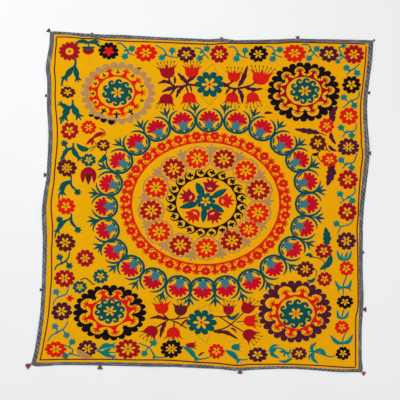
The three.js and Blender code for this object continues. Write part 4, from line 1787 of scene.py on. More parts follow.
@dataclass
class Border:
    """The running border: rosettes joined by vines inside a fine line.

    Attributes:
        rosettes: the rosettes, clockwise from the upper left.
        vines: the vines between them, in the same order.
    """

    rosettes: tuple[Rosette, ...] = (
        Rosette(69.6, 51.4, 21.6, 18.8, CRIMSON, 13, ROUND_EYE, BLACK),
        Rosette(108.8, 51.3, 21, 17.4, BLACK, 11, FIVE, RED), Rosette(145.7, 52.8, 22, 17.4, RED, 10),
        Rosette(186.2, 54.4, 19, 15, PURPLE, 9, FIVE), Rosette(219.2, 54.2, 19, 17.4, CRIMSON, 10),
        Rosette(258.3, 54, 19.6, 16.5, BLACK, 10), Rosette(294.6, 53.4, 23, 17.4, RED, 11),
        Rosette(329, 54, 19.6, 16, PURPLE, 9, FIVE), Rosette(353.8, 54.4, 21.4, 19, CRIMSON, 11),
        Rosette(351.4, 84.8, 19.6, 17.4, BLACK, 10, FIVE), Rosette(349, 116, 18.8, 17.4, RED, 9),
        Rosette(348.5, 147, 22, 18, PURPLE, 11, EIGHT), Rosette(348, 179.6, 20.5, 19.6, CRIMSON, 10),
        Rosette(347.2, 211.7, 18.8, 18.3, CRIMSON, 9, FIVE), Rosette(346.4, 241, 20, 18.3, PURPLE, 10),
        Rosette(346.3, 268.5, 15.6, 14.7, RED, 9, FIVE),
        Rosette(345, 302, 17, 13.4, BLACK, 9, FIVE),
        Rosette(342, 327.2, 14.7, 13.4, RED, 9, FIVE),
        Rosette(343, 353.3, 15.2, 13.4, BLACK, 9, FIVE),
        Rosette(299, 353.5, 16.5, 12.5, MAROON, 10, FIVE, OLIVE),
        Rosette(257.5, 354.7, 20, 15.2, PURPLE, 10, FIVE),
        Rosette(216.4, 351.3, 16.5, 15.2, RED, 10, FIVE),
        Rosette(171.3, 349, 22, 18, BLACK, 11, EIGHT),
        Rosette(128, 349, 24.6, 19.6, CRIMSON, 12, WIDE), Rosette(87.4, 348.6, 20, 17, PURPLE, 10),
        Rosette(55.8, 349.2, 21.4, 16, RED, 10), Rosette(61.6, 311.3, 21, 18, PURPLE, 9),
        Rosette(64.5, 278.3, 21, 18, CRIMSON, 10), Rosette(65.2, 242.5, 20.5, 19, MAROON, 11),
        Rosette(66, 206, 18.8, 16.5, RED, 10, FIVE),
        Rosette(66.9, 168, 20, 18, MAROON, 10, EIGHT),
        Rosette(69.5, 130.8, 18.3, 17.4, CRIMSON, 9, FIVE),
        Rosette(67.7, 92.2, 15.6, 12, MAROON, 9, FIVE, RED),
    )
    vines: tuple[Vine, ...] = (
        Vine(((88.6, 48), (88.6, 43)), (), (
            ((90, 43.6), (82, 41.2), (74, 43.8), 4.0), ((87, 42.6), (95, 42.4), (101, 48), 3.8),
            ((90, 41.6), (96, 40.4), (101, 42.6), 1.8),
        ), TEAL, 2.0),
        Vine(((116.5, 44), (120.7, 43.4), (126.5, 48.8), (129, 53), (134.8, 55.5)),
            ((132, 48.6), (124.8, 56.6))),
        Vine(((155.8, 45.2), (163.4, 49.5), (168, 56), (178.6, 57.5)), ((172.3, 50.4), (161.6, 57.6))),
        Vine(((193.8, 48), (200, 48.6), (203.6, 53), (209, 59)), ((207, 48.6), (199.6, 58.4))),
        Vine(((228.3, 47.7), (234, 47.2), (240.4, 55.7), (248, 58)), ((245.3, 50.4), (236.3, 59))),
        Vine(((265.8, 46.3), (272.5, 47.7), (275.6, 54.8), (283, 57.5)), ((280, 49.6), (272.6, 59))),
        Vine(((301.3, 45), (308.4, 45), (312.4, 52), (319, 57.5)), ((317, 48.8), (309, 58.4))),
        Vine(((338.6, 46.8), (341.3, 54), (348, 61.5)), ((343.6, 46), (337.7, 61.6)), size=3.0),
        Vine(((359.6, 63.8), (354.6, 68.2), (350.2, 70.9), (346.2, 75.4)), ((346.2, 67.8), (357, 73.4))),
        Vine(((359.3, 91.4), (358, 97.7), (350.8, 101.3), (342.3, 108)), ((343.7, 97.2), (354.4, 105.6))),
        Vine(((356.6, 123.6), (354.8, 130.7), (346.8, 132), (341.9, 137.4)), ((341, 127.6), (351.7, 135.6))),
        Vine(((357, 153.2), (353.5, 162), (346.8, 163.9), (342.3, 168.8)), ((341, 160), (351.7, 168))),
        Vine(((354.4, 186.7), (354.8, 192.5), (347.7, 198), (339.6, 203)), ((340, 193.8), (352.4, 200.8))),
        Vine(((353.9, 219.5), (348.6, 224.8), (341.4, 226.6), (337.4, 234.2)), ((336.4, 223.6),)),
        Vine(((344.4, 262), (344.2, 258)), (), (
            ((344.4, 260.6), (339.6, 258), (336.8, 249.6), 3.2),
            ((344, 260.6), (348.8, 258), (351.8, 250.6), 3.2),
            ((344.4, 259), (346.4, 255), (347.4, 250.8), 2.4),
            ((344, 259), (341.8, 256), (342.2, 252.4), 2.0),
        )),
        Vine(((346.8, 276), (343.2, 285), (343.4, 294.6)), (), (
            ((344, 287.6), (338.6, 286.8), (334.6, 280), 3.2),
            ((343, 287), (348.6, 286.8), (351.6, 279.6), 3.4),
            ((344, 287), (338.6, 288.6), (338.2, 292.6), 2.2),
            ((343.4, 287), (349, 288.2), (350.4, 292), 2.2),
        )),
        Vine(((344.4, 308.6), (342.4, 314), (342, 320)), (), (
            ((342.6, 319), (338.4, 316.6), (337.2, 309.6), 3.0),
            ((341.8, 319), (346.4, 316.4), (348.6, 310.6), 3.0),
        )),
        Vine(((345.4, 332.3), (342.3, 341.3), (343.2, 345.6)), (), (
            ((343, 343.4), (336.6, 342), (329.8, 335), 4.0), ((342, 343), (348.4, 341.6), (353.2, 334), 4.0),
        )),
        Vine(((334.8, 355.7), (329.5, 356.6), (323, 354.4), (315, 352), (308, 351.6)), (), (
            ((326, 354.8), (320.6, 350.2), (314, 351), 4.2), ((314, 353), (311.4, 347.6), (316.8, 342), 3.6),
            ((314, 351.4), (312.6, 358), (318.6, 364), 3.6), ((315, 352), (309.4, 356), (309.8, 360.4), 2.4),
        )),
        Vine(((267.6, 351.6), (276, 347.8), (284, 350), (289, 356.6), (292.6, 359.6)), (), (
            ((269, 351.6), (273, 346), (279, 345), 3.0), ((277, 348), (271.6, 353.4), (279.6, 358.4), 4.0),
            ((279, 352), (284.6, 352), (283.8, 357.6), 3.0),
            ((292, 358.4), (285, 361.6), (278.4, 360.4), 3.2),
            ((283, 351.6), (289, 353), (290.6, 348), 2.6),
        )),
        Vine(((225.6, 350.4), (231, 355.6), (240, 359.4), (248, 359.3)), (), (
            ((225.6, 350), (231.8, 353), (238, 360), 5.2),
        )),
        Vine(((182.4, 346), (188.6, 352), (197, 358.6), (204, 358.8), (210.8, 356.7)), (), (
            ((182.2, 345.8), (189.8, 350.4), (196, 358.6), 5.0),
        )),
        Vine(((138.6, 343), (149.3, 347.7), (154.6, 355.7), (159, 357.5), (167.9, 356.6)),
            ((144.4, 353.5), (153.8, 342.8))),
        Vine(((96.6, 350.9), (104, 352), (116, 352.6)), (), (
            ((96.6, 351), (104.6, 346), (112.6, 345.6), 5.2), ((96.6, 350.6), (104.6, 354), (113, 357), 4.4),
            ((103, 351), (108, 350), (112, 347.6), 3.0),
        )),
        Vine(((64.1, 344.6), (72.6, 349.5), (72.6, 354), (82, 356.6)), ((72.3, 341.7), (65, 355.9))),
        Vine(((68, 321), (65.4, 326.7), (60.5, 330.7), (51.6, 335.6), (47.6, 341.4)),
            ((55.2, 326), (66.6, 335.4)), silk=BLUE),
        Vine(((69, 286), (66.3, 293.9), (62.3, 295.7), (55.2, 299.3), (52.9, 305)), ((56, 291.8),),
            silk=BLUE),
        Vine(((69.5, 251.8), (68.6, 256.7), (65, 261.6), (57, 265.6), (54.7, 270.3)),
            ((59.6, 257.1), (69.5, 266)), silk=TEAL, width=1.8),
        Vine(((71.7, 213), (70.6, 218), (63.4, 222.4), (57, 229.6), (55, 238)), ((59.6, 219.4), (78, 230)), (
            ((69.4, 219), (62, 223.4), (57.6, 230.6), 5.0), ((71.4, 214), (71.6, 222), (76.4, 228.6), 3.0),
        ), TEAL, 2.0),
        Vine(((71.3, 175.7), (70.4, 181), (63.4, 188), (58.8, 195.8), (59.4, 199.8)), ((77.8, 192.2),), (
            ((70.4, 180), (63.4, 185), (62.4, 192.6), 5.6), ((70.8, 178), (71.6, 186), (76.4, 191), 2.2),
            ((66, 183), (60.4, 188), (58, 191.6), 2.4),
        ), TEAL, 1.9),
        Vine(((73.6, 142.7), (72.4, 148), (64.8, 152), (61.4, 160), (61.6, 164)), ((64.4, 143.4),), (
            ((72, 147), (66, 151), (63, 157.4), 4.4), ((73, 143), (74, 151), (79, 158), 5.2),
        ), TEAL, 2.1),
        Vine(((72.7, 99.6), (72, 106), (66, 112), (61.4, 119), (61, 124)), (), (
            ((71.6, 105.6), (67, 110), (64.4, 117), 7.0), ((70.6, 106.6), (65.4, 106.6), (61, 104), 4.8),
            ((72.6, 103), (74.4, 109), (78.2, 115.6), 6.8),
        ), TEAL, 2.4),
        Vine(((75.6, 58.6), (75, 65.4), (69.6, 72), (63.2, 79), (61.6, 86)), (), (
            ((75, 65), (70.4, 71), (65.6, 77.6), 5.8), ((75, 64), (76, 71.6), (77.6, 78.6), 5.4),
        ), TEAL, 2.6),
    )

    def stitch(self) -> Stitching:
        """Stitch the border.

        Returns:
            Its patches.
        """
        work = Stitching("border")
        for vine in self.vines:
            vine.stitch(work)
        for rosette in self.rosettes:
            rosette.stitch(work)
        work.patch(CRIMSON, Placing(88.4, 50.4, 6.2, 4.4), ROUND)
        work.leaf(TEAL, ((81.6, 47.4), (88.4, 48.4), (95.2, 47)), 3.6, layer=2)
        work.rosette(RED, Placing(108.8, 51.3, 5.8, 4.9), 5, EYE, None, 0.45)
        work.patch(GREEN, Placing(236.5, 347, 5.8, 4.0, 90), TULIP * 0.95)
        work.patch(CRIMSON, Placing(191.6, 345.4, 6.6, 3.4, 90), TULIP * 0.95)
        work.patch(RED, Placing(70.4, 298.4, 4.8, 3.4, 90), MAPLE)
        work.leaf(BLACK, ((198.4, 356.2), (201.3, 353.6), (204.6, 352)), 1.8)
        work.leaf(MAUVE, ((77.4, 349.6), (83, 354.6), (92, 357)), 6.4, layer=2)
        work.leaf(MAROON, ((264, 113.6), (268.4, 112.6), (273, 113.4)), 2.6)
        work.leaf(BLACK, ((137, 69), (139.6, 68.2), (142, 68.2)), 1.6)
        return work


@dataclass
class RimLine:
    """The fine dark line inside the edging.

    Attributes:
        width: its width on the chart.
        rows: for each side, chart places along it and the line's depth inside the edging there.
    """

    width: float = 1.45
    rows: dict[str, tuple] = field(default_factory=lambda: {
        "left": ((357, 3.4), (343, 3.4), (327, 4.1), (303, 4.8), (290, 5), (278, 5.6), (250, 4.5), (225, 5.9),
                 (200, 4.2), (185, 4.2), (173, 3.5), (160, 4), (145, 4.8), (118, 4.8), (95, 3.7), (65, 4.4),
                 (51, 2.7), (38, 2.4)),
        "top": ((46, 2.7), (75, 2.1), (100, 0.9), (103, 2), (130, 2.6), (157, 2.3), (213, 2.4), (232, 0.5),
                (277, 1.1), (292, 0.6), (337, 1.1), (366, 0.8)),
        "right": ((45, 2.2), (88, 2), (95, 2.3), (110, 2.8), (137, 2.8), (145, 3.4), (152, 2), (170, 2.6),
                  (185, 2), (195, 1.7), (215, 1.1), (230, 2.3), (245, 1.5), (260, 1.1), (310, 1.1),
                  (315, 2.9), (365, 2.9)),
        "bottom": ((355, 1.6), (338, 2.5), (328, 2.8), (302, 2), (275, 2), (251, 2.9), (237, 2.2), (217, 2.7),
                   (197, 2.3), (185, 2.9), (172, 3.3), (155, 3.3), (135, 2.8), (40, 2.8)),
    })

    def _line(self, name: str, at: Array) -> Array:
        """Points of the line along a side.

        Args:
            name: the side's name.
            at: places along the side, metres.

        Returns:
            Positions in metres.
        """
        side = getattr(OUTLINE, name)
        rows = np.array(self.rows[name])
        if side.axis == 0:
            place = (rows[:, 0] - CHART.middle_x) * CHART.square
        else:
            place = (CHART.middle_y - rows[:, 0]) * CHART.square
        order = np.argsort(place)
        inset = np.interp(at, place[order], rows[order, 1] * CHART.square)
        return side.point(at, 1.0) - side.out * np.stack(
            (inset * (side.axis == 1), inset * (side.axis == 0)), axis=-1,
        )

    def stitch(self) -> Stitching:
        """Stitch the line.

        Returns:
            Its patches.
        """
        work = Stitching("rim_line", crest=0.0007)
        steps, corner_inset = 90, 0.018
        found = OUTLINE.corners(1.0, corner_inset)
        for name, (first, last) in SIDE_ENDS.items():
            side = getattr(OUTLINE, name)
            at = np.linspace(found[first][side.axis], found[last][side.axis], steps)
            flat = self._line(name, at)
            chart = np.stack(
                (flat[:, 0] / CHART.square + CHART.middle_x, CHART.middle_y - flat[:, 1] / CHART.square),
                axis=-1,
            )
            work.ribbon(MAROON, chart, (self.width, self.width * 1.1, self.width), steps=2)
        return work


@dataclass(frozen=True)
class CornerMedallion:
    """A large round medallion.

    Attributes:
        name: which corner.
        x: chart x of its middle.
        y: chart y of its middle.
        wide: half its width.
        tall: half its height.
        scallops: scallops of the outer band.
        turns: degrees clockwise of each palmette inside it.
        outer: silk of the outer band.
        inner: silk of the palmettes and their ring.
        ring: the ring's middle, half width and half height.
        whirl: the whirl's middle, half width and half height.
        disc: radius of the whirl's solid disc, as a share.
        faded: whether the outer band is pale and worn thin.
    """

    name: str
    x: float
    y: float
    wide: float
    tall: float
    scallops: int
    turns: tuple[int, ...]
    outer: Thread
    inner: Thread
    ring: tuple[float, float, float, float]
    whirl: tuple[float, float, float, float]
    disc: float = 0.62
    faded: bool = False

    def stitch(self) -> Stitching:
        """Stitch the medallion.

        Returns:
            Its patches.
        """
        work = Stitching("medallion_" + self.name)
        palmette_out, foot_out, palmette_size = 0.675, 0.66, (4.3, 3.8)
        placing = Placing(self.x, self.y, self.wide, self.tall)
        ring = Placing(*self.ring)
        work.band(self.inner, ring, 0.94, np.full(96, 1.05), full=0.8)
        heads = ring.chart(polar(np.array(self.turns), palmette_out * self.wide / ring.wide))
        away = (heads - (self.x, self.y)) / (self.wide, -self.tall)
        facing = np.degrees(np.unwrap(np.arctan2(away[:, 0], away[:, 1])))
        self._scalloped_band(work, placing, facing)
        room = np.array((0.17 * (self.wide + self.tall) / len(heads), 1.0))
        between = (facing + np.append(facing[1:], facing[0] + 360)) / 2
        for (x, y), turn, gap in zip(heads, self.turns, between):
            palmette = Placing(x, y, *palmette_size, turn)
            work.patch(self.inner, palmette, PEDESTAL * room, kernel=(0.0, -1.1))
            work.patch(self.inner, palmette, PALMETTE * room)
            x, y = placing.chart(polar(gap, foot_out))
            low = math.cos(math.radians(gap)) < -0.7
            size = (3.2 if low else 2.0) if self.faded else 3.0
            foot = Placing(x, y, size * 1.04, size * 0.94, gap + 180)
            work.patch(BLACK if self.faded else self.outer, foot, FOOT, layer=1)
        self._whirl(work)
        return work

    def _scalloped_band(self, work: Stitching, placing: Placing, facing: Array) -> None:
        """Stitch the outer band: scallops outside, arches over the palmettes inside.

        A faded band is narrower and thinner, with a few dark scallops left.

        Args:
            work: where it goes.
            placing: the medallion's place.
            facing: degrees clockwise of the arches, in order.
        """
        count = self.scallops * 12
        turns = np.arange(count) / count
        outer = scalloped(self.scallops * turns, 0.17 if self.faded else 0.14)
        lap = np.concatenate((facing - 360, facing, facing + 360))
        phase = np.interp(turns * 360, lap, np.arange(len(lap)))
        off = np.abs((phase + 0.5) % 1 - 0.5) * 2
        arch = 0.6 + 0.24 * np.sqrt(np.clip(1 - (off / 0.8) ** 2, 0, 1))
        if not self.faded:
            work.band(self.outer, placing, np.minimum(arch, outer - 0.05), outer)
            return
        work.band(self.outer, placing, np.minimum(np.clip(arch, 0.74, 0.79), outer - 0.04), outer, full=0.5)
        for k, (x, y) in enumerate(((91.2, 115.6), (97.0, 118.0), (103.6, 120.4), (111.4, 122.2))):
            dark = Placing(x, y, 3.0 + 0.3 * k, 1.6 + 0.5 * k, 190)
            work.patch(BLACK, dark, DOME, layer=1)

    def _whirl(self, work: Stitching) -> None:
        """Stitch the whirl of curled hooks round a six-petalled flower."""
        x, y, wide, tall = self.whirl
        placing = Placing(x, y, wide, tall)
        hooks = 10
        turns = np.arange(120) / 120
        work.band(TEAL, placing, SIX.radius(turns) * 0.86, np.full(120, self.disc + 0.03))
        for k in range(hooks):
            swing = k * 360 / hooks + np.array((-5, -4, 3, 12, 19, 20, 15)) * min(1.0, 1.9 - 1.5 * self.disc)
            reach = 1 - np.array((0.44, 0.24, 0.06, 0.0, 0.07, 0.17, 0.22)) * (1 - self.disc) / 0.4
            work.ribbon(TEAL, polar(swing, reach), (0.34, 0.27, 0.22, 0.19, 0.17, 0.16, 0.12), placing, 3)
        work.patch(self.inner, Placing(x, y, wide * 0.09, tall * 0.09), ROUND, full=0.7)


@dataclass(frozen=True)
class RingPath:
    """A ring of the great medallion: a circle drawn a little wide and aslant.

    Attributes:
        x: chart x of its middle.
        y: chart y of its middle.
        wide: half its width.
        tall: half its height.
        skew: how much longer its long slant is, as a share.
    """

    x: float
    y: float
    wide: float
    tall: float
    skew: float = 0.0

    @property
    def placing(self) -> Placing:
        """The ring as a circle of radius 1."""
        return Placing(self.x, self.y, self.wide, self.tall)

    def spot(self, turn: float, radius: float = 1.0) -> tuple[Array, float]:
        """A place on the ring.

        Args:
            turn: degrees clockwise from upright.
            radius: distance from the middle, as a share of the ring's.

        Returns:
            The chart position and the degrees clockwise that face outwards there.
        """
        middle = np.array((self.x, self.y))
        spot = self.placing.chart(polar(turn, radius * self.reach(turn)))
        out = (spot - middle) / np.array((self.wide ** 2, self.tall ** 2))
        return spot, heading((0, 0), out)

    def reach(self, turn: object) -> object:
        """Radius of the ring at turns given in degrees, as a share of its half sizes."""
        return 1 + self.skew * (0.5 + np.cos(2 * np.radians(turn - 50)))


@dataclass
class CentreMedallion:
    """The great medallion inside the roundels: star, curled ring, rosettes and scroll ring."""

    star: tuple[float, float] = (205.5, 201.3)
    curls: RingPath = RingPath(206.3, 202.7, 30.3, 25.4)
    garland: RingPath = RingPath(205.5, 203, 54, 46)
    scroll: RingPath = RingPath(205.6, 203.3, 74.2, 61.3, 0.004)
    curl_count: int = 20
    scroll_count: int = 27
    scroll_start: float = 6.6
    blooms: tuple[tuple[float, float], ...] = (
        (197.2, 158.5), (223.9, 159.1), (245.7, 170.6), (259, 190), (257.8, 213), (248.7, 229.4),
        (231.8, 240.9), (206.3, 248.1), (180.3, 245.1), (159.1, 231.8), (151.2, 210.6), (156, 187.6),
        (173.6, 168.8),
    )
    crimson_blooms: tuple[int, ...] = (1, 3, 6, 8, 10, 12)
    small_bloom: int = 5
    star_tulips: tuple[tuple[float, float, float, Thread], ...] = (
        (210.8, 185.5, 14, CRIMSON), (226.2, 200.9, 84, RED), (214, 216.2, 152, CRIMSON),
        (193, 215.7, 218, RED), (187.5, 196.3, 290, CRIMSON),
    )
    star_leaves: tuple[tuple[float, float], ...] = (
        (196.4, 182.4), (227, 189), (224.3, 212.2), (203, 222.5), (179.6, 207.8),
    )

    def stitch(self) -> list[Stitching]:
        """Stitch the four rings, from the star outwards."""
        return [self._star(), self._curled_ring(), self._garland(), self._scroll_ring()]

    def _star(self) -> Stitching:
        """Stitch the middle star with its tulips and leaves."""
        work = Stitching("star")
        middle = np.array(self.star)
        for k, tip in enumerate(self.star_leaves):
            way = np.array(tip) - middle
            line = [middle + way * share for share in (0.3, 0.55, 0.8, 1.0)]
            work.leaf(TEAL, line, 7.6 if k == 0 else 6.2)
        work.rosette(TEAL, Placing(*self.star, 10.2, 9.2), 10, FIVE, MAROON, notch=0.3)
        for tulip_x, tulip_y, turn, thread in self.star_tulips:
            placing = Placing(tulip_x, tulip_y, 9.2, 8.2, turn)
            work.patch(thread, placing, FAN)
            heart = placing.chart(np.array((0.0, -0.5)))
            for side in (-58, 0, 58):
                petal = Placing(*heart, 2.6, 2.3, turn + side)
                work.ribbon(YELLOW, ((0, 0.15), (0, 0.6), (0, 1.15)), (0.2, 0.5, 0.2), petal, 2, 3, 0.5)
        return work

    def _curled_ring(self) -> Stitching:
        """Stitch the black ring of curls and spiky buds."""
        work = Stitching("curled_ring")
        turns = np.arange(self.curl_count * 12) / (self.curl_count * 12)
        wave = np.abs(np.cos(math.pi * self.curl_count * turns)) ** 3
        placing = self.curls.placing
        work.band(BLACK, placing, 0.985, 1.035 + 0.15 * wave, full=0.8)
        for k in range(self.curl_count):
            turn = (k + 0.5) * 360 / self.curl_count
            hook = polar(turn + np.array((-9, -8, -5, 0)), np.array((1.1, 1.2, 1.3, 1.34)))
            work.ribbon(BLACK, hook, (0.1, 0.07, 0.05, 0.03), placing, 3)
            spot, out = self.curls.spot(turn + 1.0, 1.21)
            work.patch(BLACK, Placing(*spot, 3.5, 3.1, out + 15), MAPLE)
            arc = polar(turn + np.array((-5.2, -4.0, 0, 4.0)), np.array((1.18, 1.12, 1.085, 1.1)))
            work.ribbon(YELLOW, arc, (0.008, 0.014, 0.008), placing, 3, full=0.4)
        return work

    def _garland(self) -> Stitching:
        """Stitch the thirteen rosettes with their faded outlines."""
        work = Stitching("garland")
        middle = np.array((self.garland.x, self.garland.y))
        for k, (x, y) in enumerate(self.blooms):
            thread = CRIMSON if k in self.crimson_blooms else RED
            wide, tall = (10.6, 8.8) if k == self.small_bloom else (11.6, 10.5)
            lobes = 1 + 0.02 * np.cos(np.arange(96) / 96 * TURN * 12)
            work.band(MAUVE, Placing(x, y, wide + 2.2, tall + 2.1), lobes * 0.86, lobes, full=0.45)
            work.rosette(thread, Placing(x, y, wide, tall), 12, WIDE, MAROON, 0.3)
            between = (np.array((x, y)) + np.array(self.blooms[(k + 1) % len(self.blooms)])) / 2
            out = (between - middle) / np.array((self.garland.wide, self.garland.tall)) ** 2
            x, y = between + out / np.linalg.norm(out) * 9.6
            work.patch(MAUVE, Placing(x, y, 6.2, 5.8, heading((0, 0), out)), FORK, full=0.7)
        return work

    def _scroll_ring(self) -> Stitching:
        """Stitch the red ring of small flowers, sprouts and curls."""
        work = Stitching("scroll_ring")
        turns = np.arange(self.scroll_count * 12) / (self.scroll_count * 12)
        swell = 0.5 - 0.5 * np.cos(TURN * (self.scroll_count * (turns - self.scroll_start / 360)))
        reach = self.scroll.reach(turns * 360)
        work.band(RED, self.scroll.placing, 0.986 * reach, (1.006 + 0.056 * swell ** 4.5) * reach)
        for k in range(self.scroll_count):
            turn = self.scroll_start + k * 360 / self.scroll_count
            spot, out = self.scroll.spot(turn)
            placing = Placing(*spot, STRETCH, RING_SQUASH, out)
            work.ribbon(RED, ((0, 0), (0, 3.4)), (2.0, 1.4), placing, 2)
            middle = placing.chart(np.array((0.0, 6.6)))
            work.rosette(RED, Placing(*middle, 5.3, 4.7, out), 7, EYE, None, 0.34)
            for side in (-1, 1):
                arm = np.array(((side * 0.6, 0.8), (side * 3.4, 1.0), (side * 5.4, 2.4), (side * 5.6, 4.4)))
                work.ribbon(RED, arm, (1.0, 1.1, 1.3, 1.0), placing, 3)
            spot, out = self.scroll.spot(turn + 180 / self.scroll_count)
            placing = Placing(*spot, STRETCH, RING_SQUASH, out)
            work.ribbon(RED, ((0, 1), (0, 5.6)), (3.6, 2.6), placing, 2)
            sprout = placing.chart(np.array((0.0, 7.0)))
            work.patch(RED, Placing(*sprout, 4.7, 4.4, out), SPROUT)
        return work


@dataclass
class RoundelRing:
    """The ring of twenty-four round frames, each with a flower, and tridents between them.

    Attributes:
        middle: chart position of the ring's middle.
        reach: half width and half height of the ring.
        wide: half width of a frame.
        tall: half height of a frame.
        trident_out: distance of the tridents from the line between two frames.
        fan: size of the flower's fan, as a share of the frame.
        bell: size of the bell under it, as a share of the frame.
        frames: chart middles of the frames, clockwise from the top.
    """

    middle: tuple[float, float] = (206, 204.5)
    reach: tuple[float, float] = (102, 85)
    wide: float = 13.5
    tall: float = 12.3
    trident_out: float = 11.5
    fan: float = 0.8
    bell: float = 0.84
    frames: tuple[tuple[float, float], ...] = (
        (209.2, 119.9), (237.2, 121.4), (262.2, 128.6), (283.7, 142.9), (299, 160.2), (307.4, 181.6),
        (308.6, 204.1), (304.1, 227.6), (292.1, 248.7), (273.5, 267.4), (251.3, 281.2), (226, 287.8),
        (202.6, 289.5), (178.6, 287.8), (153.1, 280.1), (130.8, 267.6), (113.8, 251.2), (106, 230),
        (104.6, 206.4), (109.2, 183.7), (119.4, 161.2), (136.5, 142.9), (156.9, 129.1), (182.4, 121.4),
    )

    def stitch(self) -> Stitching:
        """Stitch the ring.

        Returns:
            Its patches.
        """
        work = Stitching("roundels")
        squash = np.array(self.reach) ** 2
        for k, spot in enumerate(self.frames):
            middle = np.array(spot)
            out = (middle - self.middle) / squash
            self._roundel(work, Placing(*spot, self.wide, self.tall, heading((0, 0), out)))
            between = (middle + np.array(self.frames[(k + 1) % len(self.frames)])) / 2
            out = (between - self.middle) / squash
            x, y = between + out / np.linalg.norm(out) * self.trident_out
            self._trident(work, Placing(x, y, STRETCH, RING_SQUASH, heading((0, 0), out)))
        return work

    def _roundel(self, work: Stitching, placing: Placing) -> None:
        """Stitch one frame and its flower."""
        for side in (-1, 1):
            horn = polar(side * np.array((182, 150, 118, 86, 58, 34, 12)), 0.96)
            work.ribbon(TEAL, horn, (0.2, 0.22, 0.23, 0.21, 0.19, 0.16, 0.07), placing, 3)
        for start in (104, 144, 184, 224):
            dash = polar(np.linspace(start, start + 34, 4), 0.765)
            work.ribbon(TEAL, dash, (0.1, 0.18, 0.1), placing, 2)
        work.patch(CERISE, placing.scaled(self.fan), PLUME, kernel=(0.0, 0.1))
        work.patch(BLUE, placing.scaled(self.bell), CROWN, layer=1, kernel=(0.0, -0.4))

    def _trident(self, work: Stitching, placing: Placing) -> None:
        """Stitch the three leaves that stand outwards between two frames."""
        work.ribbon(TEAL, ((0, -5), (0, -2), (0, 2.6), (0, 7.4)), (1.2, 2.0, 3.0, 0.5), placing, 3)
        for side in (-1, 1):
            prong = ((0, -2.4), (side * 1.8, 0.6), (side * 3.4, 2.6), (side * 5.4, 5.0))
            work.ribbon(TEAL, prong, (1.3, 2.1, 2.1, 0.5), placing, 3)


@dataclass(frozen=True)
class Flower:
    """A tulip of a spray: its middle, half sizes, the way it points and its silk."""

    x: float
    y: float
    wide: float
    tall: float
    turn: float
    thread: Thread
    stamens: int = 0

    def stitch(self, work: Stitching) -> None:
        """Stitch it, with dotted stamens between its tips."""
        placing = Placing(self.x, self.y, self.wide, self.tall, self.turn)
        work.patch(self.thread, placing, TULIP)
        spacing = 0.4 if self.stamens < 6 else 0.31
        for k in range(self.stamens):
            right = (k - (self.stamens - 1) / 2) * spacing
            end = np.array((right * 1.3, 1.36 - 0.12 * abs(right)))
            work.ribbon(OLIVE, ((right * 0.8, 0.5), end), (0.13, 0.09), placing, 2, full=0.5)
            spot = placing.chart(end)
            work.patch(BLACK, Placing(*spot, 0.75, 0.85), ROUND, full=0.6)


@dataclass(frozen=True)
class Spray:
    """A spray of tulips and leaves on each side of a ten-petalled flower.

    Attributes:
        name: where it lies.
        head: chart x and y of the middle flower.
        flowers: the tulips.
        stems: chart lines with their width last.
        leaves: chart lines with their width last, and their silk where it is another.
        lines: fine drawn lines, chart points.
        stalk: silk of the stems and leaves.
    """

    name: str
    head: tuple[float, float]
    flowers: tuple[Flower, ...]
    stems: tuple
    leaves: tuple
    lines: tuple
    stalk: Thread = MAROON

    def stitch(self) -> Stitching:
        """Stitch the spray.

        Returns:
            Its patches.
        """
        work = Stitching("spray_" + self.name)
        for line in self.lines:
            work.ribbon(OLIVE, line, (0.5,), steps=3, full=0.3)
        for *line, width in self.stems:
            work.ribbon(self.stalk, line, (width * 0.8, width, width * 0.7))
        for leaf in self.leaves:
            *line, width, thread = leaf if isinstance(leaf[-1], Thread) else (*leaf, self.stalk)
            work.leaf(thread, line, width, 3, layer=1)
        for flower in self.flowers:
            flower.stitch(work)
        work.rosette(TEAL, Placing(*self.head, 15.6, 13.4), 10, SIX, RED, notch=0.34)
        return work


